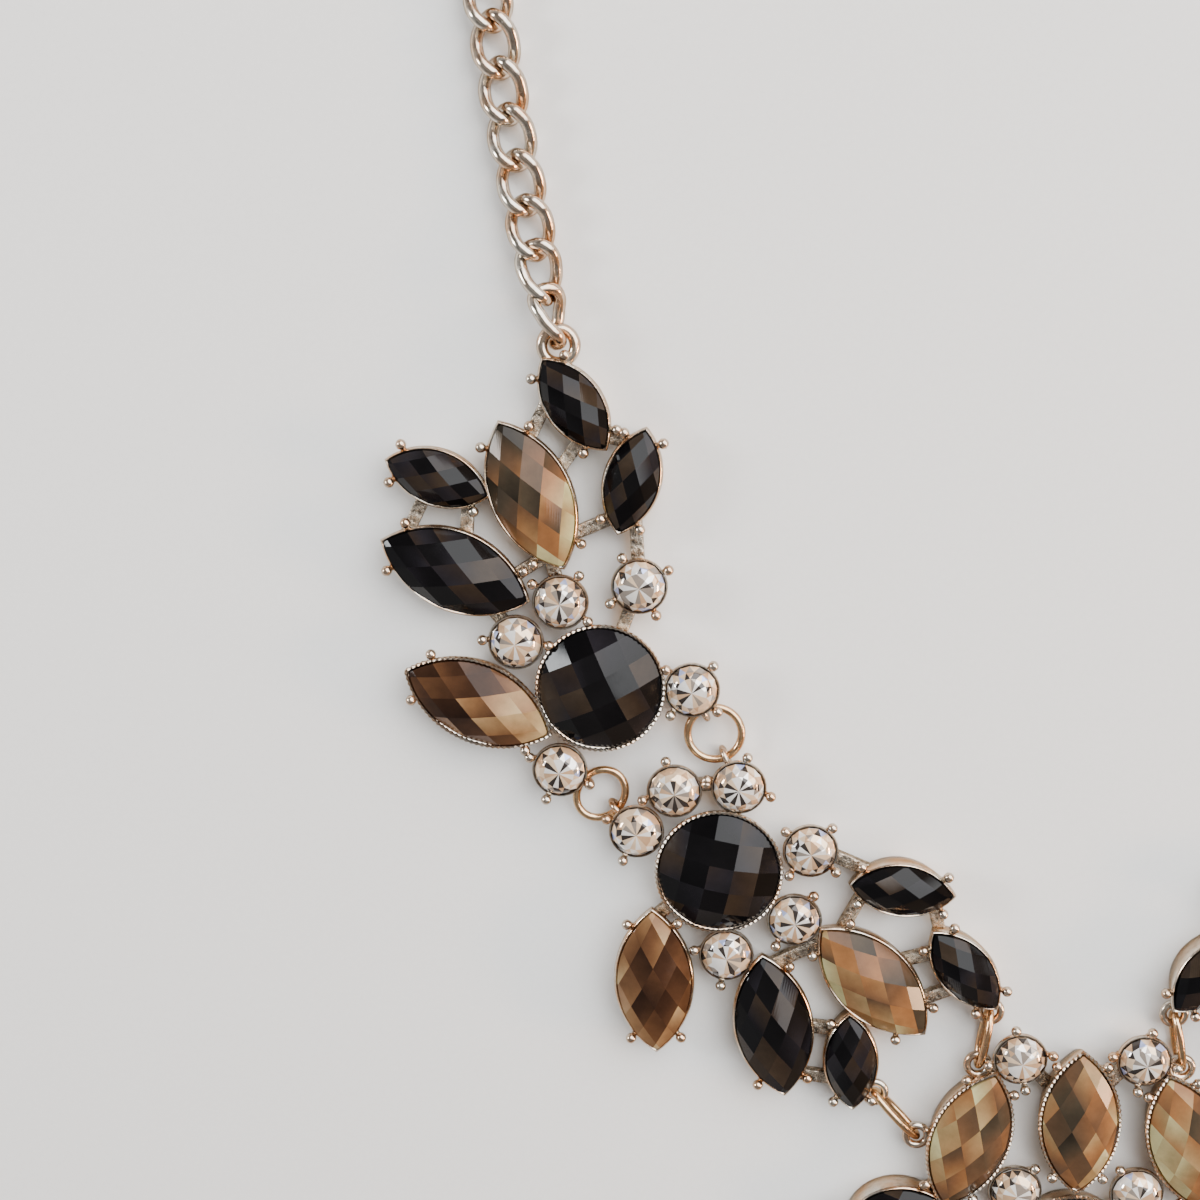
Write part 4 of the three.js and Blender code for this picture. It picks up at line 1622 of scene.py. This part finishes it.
@dataclass(frozen=True)
class WireSizes:
    """Sizes of the round wire that the fittings and links are bent from."""

    chain_eye_wire: float = 1.1
    chain_eye_hole: float = 2.1
    small_eye_wire: float = 0.8
    small_eye_hole: float = 1.4
    loop_wire: float = 0.6
    loop_hole: float = 1.4
    jump_wire: float = 0.8
    round_ring: float = 6.2
    round_ring_heading: float = 115.0
    oval_ring: float = 6.8
    oval_ring_height: float = 3.5
    oval_ring_heading: float = 80.0
    eye_slack: float = 0.15
    clasp_reach: float = 3.6
    wall: float = 0.5
    eye_points: int = 36
    loop_points: int = 28
    ring_points: int = 48
    sides: int = 12
    loop_sides: int = 10

    def eye(self, centre: np.ndarray, height: float, wire: float, hole: float) -> Shell:
        """Bend a ring that lies flat.

        Args:
            centre: Its middle, x and y.
            height: The height of its wire's middle.
            wire: The wire's thickness.
            hole: The width of its hole.

        Returns:
            The ring.
        """
        turn = full_turn(self.eye_points)
        radius = (hole + wire) / 2
        flat = centre + radius * np.column_stack([np.cos(turn), np.sin(turn)])
        return wire_loop(raised(flat, height), wire / 2, self.sides)

    def loop(self, centre: np.ndarray, bearing: float) -> Shell:
        """Bend a small loop that stands up, in the plane of its bearing.

        Args:
            centre: Its middle, x and y.
            bearing: The way that it faces along, in degrees.

        Returns:
            The loop.
        """
        turn = full_turn(self.loop_points)
        radius = (self.loop_hole + self.loop_wire) / 2
        flat = centre + radius * np.cos(turn)[:, None] * heading(bearing)
        height = self.loop_wire + self.loop_hole / 2 + radius * np.sin(turn)
        return wire_loop(raised(flat, height), self.loop_wire / 2, self.loop_sides)

    def jump_ring(
        self, first: np.ndarray, second: np.ndarray, half_width: float, height: float, standing: bool
    ) -> Shell:
        """Bend an oval of wire whose ends pass through two points.

        The line is middle + half length cos a along + half width sin a across, or upwards where
        the ring stands.

        Args:
            first: One point, x and y.
            second: The other point.
            half_width: Half the oval's width, to the wire's middle.
            height: The height of its middle.
            standing: Whether it stands on its edge.

        Returns:
            The ring.
        """
        turn = full_turn(self.ring_points)
        along = (second - first) / 2
        across = np.array([-along[1], along[0]]) / np.linalg.norm(along)
        side = half_width * np.sin(turn)
        flat = (first + second) / 2 + np.cos(turn)[:, None] * along
        if not standing:
            flat = flat + side[:, None] * across
        rise = side if standing else 0.0
        return wire_loop(raised(flat, height + rise), self.jump_wire / 2, self.sides)


Route = Callable[[float], tuple[np.ndarray, float]]


@dataclass
class CurbChain:
    """Half of the neck chain: twisted links that bite into each other, along two arcs."""

    link_length: float = 6.6
    link_width: float = 4.7
    wire: float = 1.2
    twist: float = 55.0
    bite: float = 0.1
    squareness: float = 0.8
    chain_heading: float = 104.0
    side_run: float = 34.0
    side_bend: float = 290.0
    link_points: int = 44
    wire_sides: int = 12
    dense_points: int = 720
    cad_points: int = 8
    eye_roll: float = 68.0
    roll_shares: tuple[float, ...] = (1.0, 0.45, 0.12)

    def roll(self, number: int, count: int) -> float:
        """Work out a link's roll: most at the ends, which stand in the eye and the clasp.

        Args:
            number: The link's number, from the eye.
            count: How many links there are.

        Returns:
            The roll in degrees.
        """
        from_end = min(number, count - 1 - number)
        share = self.roll_shares[from_end] if from_end < len(self.roll_shares) else 0.0
        return share * (self.eye_roll if number < count / 2 else self.twist - 90)

    def link_line(self, half_length: float, roll: float, count: int) -> np.ndarray:
        """Work out a link's middle line.

        x is a c, and the side s is b times the rounded sine, where the rounded value of v is
        sign(v) |v|^squareness and c is the rounded cosine. The side is turned about x by the
        roll less the twist times the cosine.

        Args:
            half_length: Half the line's length.
            roll: How far the link is rolled, in degrees.
            count: How many points the line has.

        Returns:
            The points of the closed line.
        """
        turn = full_turn(count)

        def rounded(value: np.ndarray) -> np.ndarray:
            """Return the rounded value."""
            value = np.where(np.abs(value) < TINY, 0, value)
            return np.sign(value) * np.abs(value) ** self.squareness

        side = (self.link_width - self.wire) / 2 * rounded(np.sin(turn))
        lean = (roll - self.twist * np.cos(turn)) * DEGREE
        along = half_length * rounded(np.cos(turn))
        return np.column_stack([along, side * np.cos(lean), side * np.sin(lean)])

    def lying_height(self, line: np.ndarray) -> float:
        """Return how high a link's middle is when its lowest point touches the ground."""
        return self.wire / 2 - line[:, 2].min()

    def route(self, start: np.ndarray, clasp_end: float) -> tuple[float, Route]:
        """Work out the chain's line: a slight bend first, then one arc round to the clasp.

        Args:
            start: Where the chain leaves the eye.
            clasp_end: The x at which it ends, heading along x.

        Returns:
            Its length, and a function that gives the place and heading at a distance.
        """
        first_turn = self.side_run / self.side_bend / DEGREE
        side_middle = start + heading(self.chain_heading - 90, self.side_bend)
        corner_heading = self.chain_heading - first_turn
        corner = side_middle + heading(corner_heading + 90, self.side_bend)
        bend = (clasp_end - corner[0]) / math.sin(corner_heading * DEGREE)
        bend_middle = corner + heading(corner_heading - 90, bend)

        def at(distance: float) -> tuple[np.ndarray, float]:
            """Find a point of the line.

            Args:
                distance: How far along the line it is.

            Returns:
                Its place, x and y, and the heading there in degrees.
            """
            if distance < self.side_run:
                angle = self.chain_heading - distance / self.side_bend / DEGREE
                return side_middle + heading(angle + 90, self.side_bend), angle
            angle = corner_heading - (distance - self.side_run) / bend / DEGREE
            return bend_middle + heading(angle + 90, bend), angle

        return self.side_run + bend * corner_heading * DEGREE, at

    def shells(self, start: np.ndarray, clasp_end: float) -> list[Shell]:
        """Bend all the links from the eye to the clasp.

        Args:
            start: Where the chain leaves the eye.
            clasp_end: The x at which it ends.

        Returns:
            The links in order.
        """
        length, at = self.route(start, clasp_end)
        nominal = self.link_length - 2 * self.wire + self.bite
        reach = self.wire - self.bite
        count = round((length - reach) / nominal)
        pitch = (length - reach) / count
        half_length = (pitch + self.wire - self.bite) / 2
        links = []
        for number in range(count):
            roll = self.roll(number, count)
            coarse = self.link_line(half_length, roll, self.cad_points)
            line = evenly(self.link_line(half_length, roll, self.dense_points), self.link_points)
            line[:, 2] += self.lying_height(np.vstack([coarse, line]))
            place, angle = at(half_length + number * pitch)
            links.append(wire_loop(line, self.wire / 2, self.wire_sides).placed(angle, place))
        return links


@dataclass(frozen=True)
class SoftLight:
    """A soft light: where it hangs and its size in millimetres, its power in watts, its colour."""

    name: str
    place: Point
    size: tuple[float, float]
    power: float
    tint: Colour

    def hang(self, aim: Point) -> None:
        """Hang the light so that it faces a point.

        Args:
            aim: The point, in millimetres.
        """
        data = bpy.data.lights.new(self.name, "AREA")
        data.shape = "RECTANGLE"
        data.size, data.size_y = self.size[0] * MILLIMETRE, self.size[1] * MILLIMETRE
        data.energy = self.power
        data.color = self.tint
        light = add_object(self.name, data)
        light.location = Vector(self.place) * MILLIMETRE
        light.rotation_euler = (Vector(aim) - Vector(self.place)).to_track_quat("-Z", "Y").to_euler()


# A large cool white key at the upper right, a low warm one at the right and a small one at the
# left.
SOFT_LIGHTS = (
    SoftLight("key", (320, 440, 500), (1000, 760), 17.0, (0.96, 0.98, 1.0)),
    SoftLight("warm", (520, -40, 170), (190, 70), 3.0, (1.0, 0.62, 0.36)),
    SoftLight("cool", (-560, 200, 260), (160, 120), 2.4, (0.95, 0.98, 1.0)),
)


@dataclass
class Studio:
    """The pale floor, soft lights and camera."""

    floor_size: float = 3000.0
    floor_drop: float = 0.02
    paper: Colour = (0.78, 0.77, 0.75)
    camera_place: Point = (-39.5, 103.0, 165.0)
    camera_right: Point = (0.99843, -0.01136, -0.05496)
    camera_up: Point = (0.0, 0.97928, -0.20249)
    camera_back: Point = (0.05612, 0.20217, 0.97775)
    lens: float = 50.7
    sensor_width: float = 36.0
    sight: Range = (0.01, 20.0)
    aim: Point = (-40.0, 60.0, 0.0)

    def add_camera(self) -> None:
        """Put the camera where the photograph was taken from."""
        data = bpy.data.cameras.new("camera")
        data.lens = self.lens
        data.sensor_width = self.sensor_width
        data.clip_start, data.clip_end = self.sight
        camera = add_object("camera", data)
        axes = np.array([self.camera_right, self.camera_up, self.camera_back]).T
        matrix = np.eye(4)
        matrix[:3, :3] = axes
        matrix[:3, 3] = np.array(self.camera_place) * MILLIMETRE
        camera.matrix_world = Matrix(matrix.tolist())
        bpy.context.scene.camera = camera

    def add_floor(self) -> None:
        """Lay the pale floor a hair below the ground, so that nothing sinks into it."""
        half = self.floor_size / 2
        flat = np.array([[-half, -half, 0], [half, -half, 0], [half, half, 0], [-half, half, 0]], float)
        mesh = bpy.data.meshes.new("floor")
        mesh.from_pydata((flat * MILLIMETRE).tolist(), [], [(0, 1, 2, 3)])
        mesh.materials.append(PaperFloor("pale paper", self.paper).material())
        floor = add_object("floor", mesh)
        floor.location.z = -self.floor_drop * MILLIMETRE

    def add_lights(self) -> None:
        """Hang the soft lights and paint the room."""
        for light in SOFT_LIGHTS:
            light.hang(self.aim)
        world = bpy.data.worlds.new("studio")
        bpy.context.scene.world = world
        self.paint_room(Shader(world))

    def paint_room(self, shader: Shader) -> None:
        """Make the room dim overhead and brighter near the horizon, warm right and cool left.

        Args:
            shader: The world's nodes.
        """
        way = shader.node("ShaderNodeTexCoord", {}, {}, "Generated")
        height = shader.node("ShaderNodeSeparateXYZ", {}, {0: way}, 2)
        across = shader.node("ShaderNodeSeparateXYZ", {}, {0: way}, 0)
        overhead = [(0.6, (0.2, 0.19, 0.19)), (0.8, (0.28, 0.28, 0.28)), (1.0, (0.42, 0.41, 0.4))]
        warm = [(0.0, (0.7, 0.5, 0.34)), (0.35, (0.65, 0.42, 0.26)), *overhead]
        cool = [(0.0, (0.55, 0.53, 0.5)), (0.35, (0.58, 0.58, 0.6)), *overhead]
        ramps = [shader.node("ShaderNodeValToRGB", {"stops": stops}, {0: height}) for stops in (cool, warm)]
        colour = shader.blend(shader.spread(across, (-0.5, 0.5)), *ramps)
        surface = shader.node("ShaderNodeBackground", {}, {"Color": colour, "Strength": 1.0})
        shader.close("ShaderNodeOutputWorld", surface)


@dataclass
class Necklace:
    """The whole necklace: clusters, rings, chain and clasp."""

    wires: WireSizes = field(default_factory=WireSizes)
    chain: CurbChain = field(default_factory=CurbChain)

    def __post_init__(self) -> None:
        """Make the finishes and hang the clusters on each other."""
        shade = (0.5, 0.4, 0.31)
        self.silver = CastMetal("warm silver", (0.62, 0.56, 0.48), (0.6, 0.4, 0.26), shade).material()
        self.copper = CastMetal("light copper wire", (0.7, 0.48, 0.28), (0.6, 0.34, 0.18), shade).material()
        self.bar_metal = HammeredMetal("hammered silver", (0.52, 0.44, 0.35), shade).material()
        self.crystal = CutStone("foiled crystal", 0.4, 0.15, 1.5, 0.04, 0.08, 0.15, 0.5).material()
        self.gems = {
            Gem.JET: CutStone("jet resin", 0.0, 0.0, 1.27, 0.05, 0.1).material(),
            Gem.SMOKY: CutStone("smoky resin on foil", 0.08, 0.0, 1.26, 0.05, 0.12).material(),
            Gem.BROWN: CutStone("brown resin on foil", 0.08, 0.0, 1.26, 0.05, 0.12).material(),
        }
        paired = tuple(f"{side}_large_{number}" for side in SIDES for number in (1, 2, 3))
        all_large = ("round", "large_top", "large_low", *paired)
        self.centre = Cluster("centre", CENTRE_SEATS, CENTRE_BARS, CENTRE_GLOWS, all_large, 3)
        self.side = Cluster("side", SIDE_SEATS, SIDE_BARS, SIDE_GLOWS, ("round",), 2)
        edged = ("round", "large_3")
        self.shoulder = Cluster("shoulder", SHOULDER_SEATS, SHOULDER_BARS, SHOULDER_GLOWS, edged, 1)
        wires = self.wires
        self.side_eyes = [
            self.eye_place(self.side, "small_3", -60),
            self.eye_place(self.side, "small_1", -57),
        ]
        self.centre_eyes = [
            self.eye_place(self.centre, "left_large_1", 84),
            self.eye_place(self.centre, "left_large_1", 184),
        ]
        self.side_loops = [
            (self.side.edge_place("chaton_2", 115, 0.4), 115),
            (self.side.edge_place("chaton_3", 135, 0.15), 135),
        ]
        self.shoulder_loops = [
            (self.shoulder.edge_place("chaton_4", -65, 0.15), -65),
            (self.shoulder.edge_place("chaton_5", -33, 0.15), -33),
        ]
        oval = heading(wires.oval_ring_heading, wires.oval_ring - wires.jump_wire)
        self.side.place = self.centre_eyes[0] + oval - self.side_eyes[0]
        ring = heading(wires.round_ring_heading, wires.round_ring - wires.jump_wire)
        self.shoulder.place = self.side.place + self.side_loops[0][0] + ring - self.shoulder_loops[0][0]
        reach = wires.wall / 2 + (wires.chain_eye_wire + wires.chain_eye_hole) / 2
        self.chain_eye = self.shoulder.edge_place("small_2", 105, reach)

    def eye_place(self, cluster: Cluster, on: str, bearing: float) -> np.ndarray:
        """Find the middle of a small eye on a stone's cup.

        Args:
            cluster: The stone's cluster.
            on: The stone.
            bearing: The eye's bearing from the stone's middle, in degrees.

        Returns:
            The place, about the cluster's middle.
        """
        wires = self.wires
        reach = wires.wall / 2 + (wires.small_eye_wire + wires.small_eye_hole) / 2
        return cluster.edge_place(on, bearing, reach)

    def place_cluster(self, cluster: Cluster, fittings: list[Shell], sides: Sequence[str]) -> None:
        """Write a cluster's frame and stones, on each side that it lies on.

        Args:
            cluster: The cluster.
            fittings: Its eyes and loops, about its middle.
            sides: The names of its sides, or one empty name for the middle.
        """
        shells = [shell.placed(0, cluster.place) for shell in cluster.frame_shells() + fittings]
        mesh = fused_mesh(cluster.name, shells, [self.silver, self.bar_metal, self.crystal])
        for side in sides:
            flip = side == "right"
            prefix = f"{side}_{cluster.name}" if side else cluster.name
            add_piece(f"{prefix}_frame", mirrored_mesh(mesh) if flip else mesh)
            for name, (glow, shell) in cluster.stone_shells(MIRRORED_SEED if flip else 0).items():
                shell = shell.placed(0, cluster.place)
                shell = shell.mirrored() if flip else shell
                stone = write_mesh(name, [shell], [self.gems[glow.gem]])
                add_piece(f"{prefix}_{name}", stone)

    def build(self) -> None:
        """Build every piece."""
        wires, chain = self.wires, self.chain
        standing = wires.oval_ring_height / 2
        flat_height = wires.loop_wire + wires.loop_hole / 2
        half = (chain.link_length - chain.wire) / 2
        eye_height = chain.lying_height(chain.link_line(half, chain.eye_roll, chain.cad_points))
        chain_eye = wires.eye(self.chain_eye, eye_height, wires.chain_eye_wire, wires.chain_eye_hole)
        shoulder_fittings = [chain_eye, *(wires.loop(*loop) for loop in self.shoulder_loops)]
        small = (standing, wires.small_eye_wire, wires.small_eye_hole)
        side_fittings = [wires.eye(eye, *small) for eye in self.side_eyes]
        side_fittings += [wires.loop(*loop) for loop in self.side_loops]
        both = [eye * (flip, 1) for eye in self.centre_eyes for flip in (1, -1)]
        centre_fittings = [wires.eye(eye, *small) for eye in both]
        self.place_cluster(self.centre, centre_fittings, ("",))
        self.place_cluster(self.side, side_fittings, SIDES)
        self.place_cluster(self.shoulder, shoulder_fittings, SIDES)
        self.place_rings(standing, flat_height)
        start = self.shoulder.place + self.chain_eye + heading(chain.chain_heading, wires.eye_slack)
        links = chain.shells(start, -wires.clasp_reach - wires.eye_slack)
        mesh = fused_mesh("chain", links, [self.silver])
        for side in SIDES:
            add_piece(f"{side}_chain", mesh if side == "left" else mirrored_mesh(mesh))

    def place_rings(self, standing: float, flat_height: float) -> None:
        """Write the jump rings between the clusters.

        Args:
            standing: The height of the oval rings' middles, which stand on edge.
            flat_height: The height of the round rings' middles, which lie flat.
        """
        wires = self.wires
        round_half = (wires.round_ring - wires.jump_wire) / 2
        oval_half = (wires.oval_ring_height - wires.jump_wire) / 2
        for number, level in enumerate(("upper", "lower")):
            low = self.side.place + self.side_loops[number][0]
            high = self.shoulder.place + self.shoulder_loops[number][0]
            round_ring = wires.jump_ring(low, high, round_half, flat_height, False)
            far = self.side.place + self.side_eyes[number]
            oval_ring = wires.jump_ring(self.centre_eyes[number], far, oval_half, standing, True)
            for side in SIDES:
                for kind, ring in (("round", round_ring), ("oval", oval_ring)):
                    shell = ring if side == "left" else ring.mirrored()
                    mesh = write_mesh(kind, [shell], [self.copper])
                    add_piece(f"{side}_{level}_{kind}_ring", mesh)


def main() -> None:
    """Build the necklace, dress it and light it."""
    logging.basicConfig(level=logging.INFO, format="%(name)s: %(message)s")
    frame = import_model()
    studio = Studio()
    studio.add_camera()
    necklace = Necklace()
    necklace.build()
    clasp = frame["nodes"]["clasp"]
    clasp.data.materials.clear()
    clasp.data.materials.append(necklace.silver)
    studio.add_floor()
    studio.add_lights()


if __name__ == "__main__":
    main()
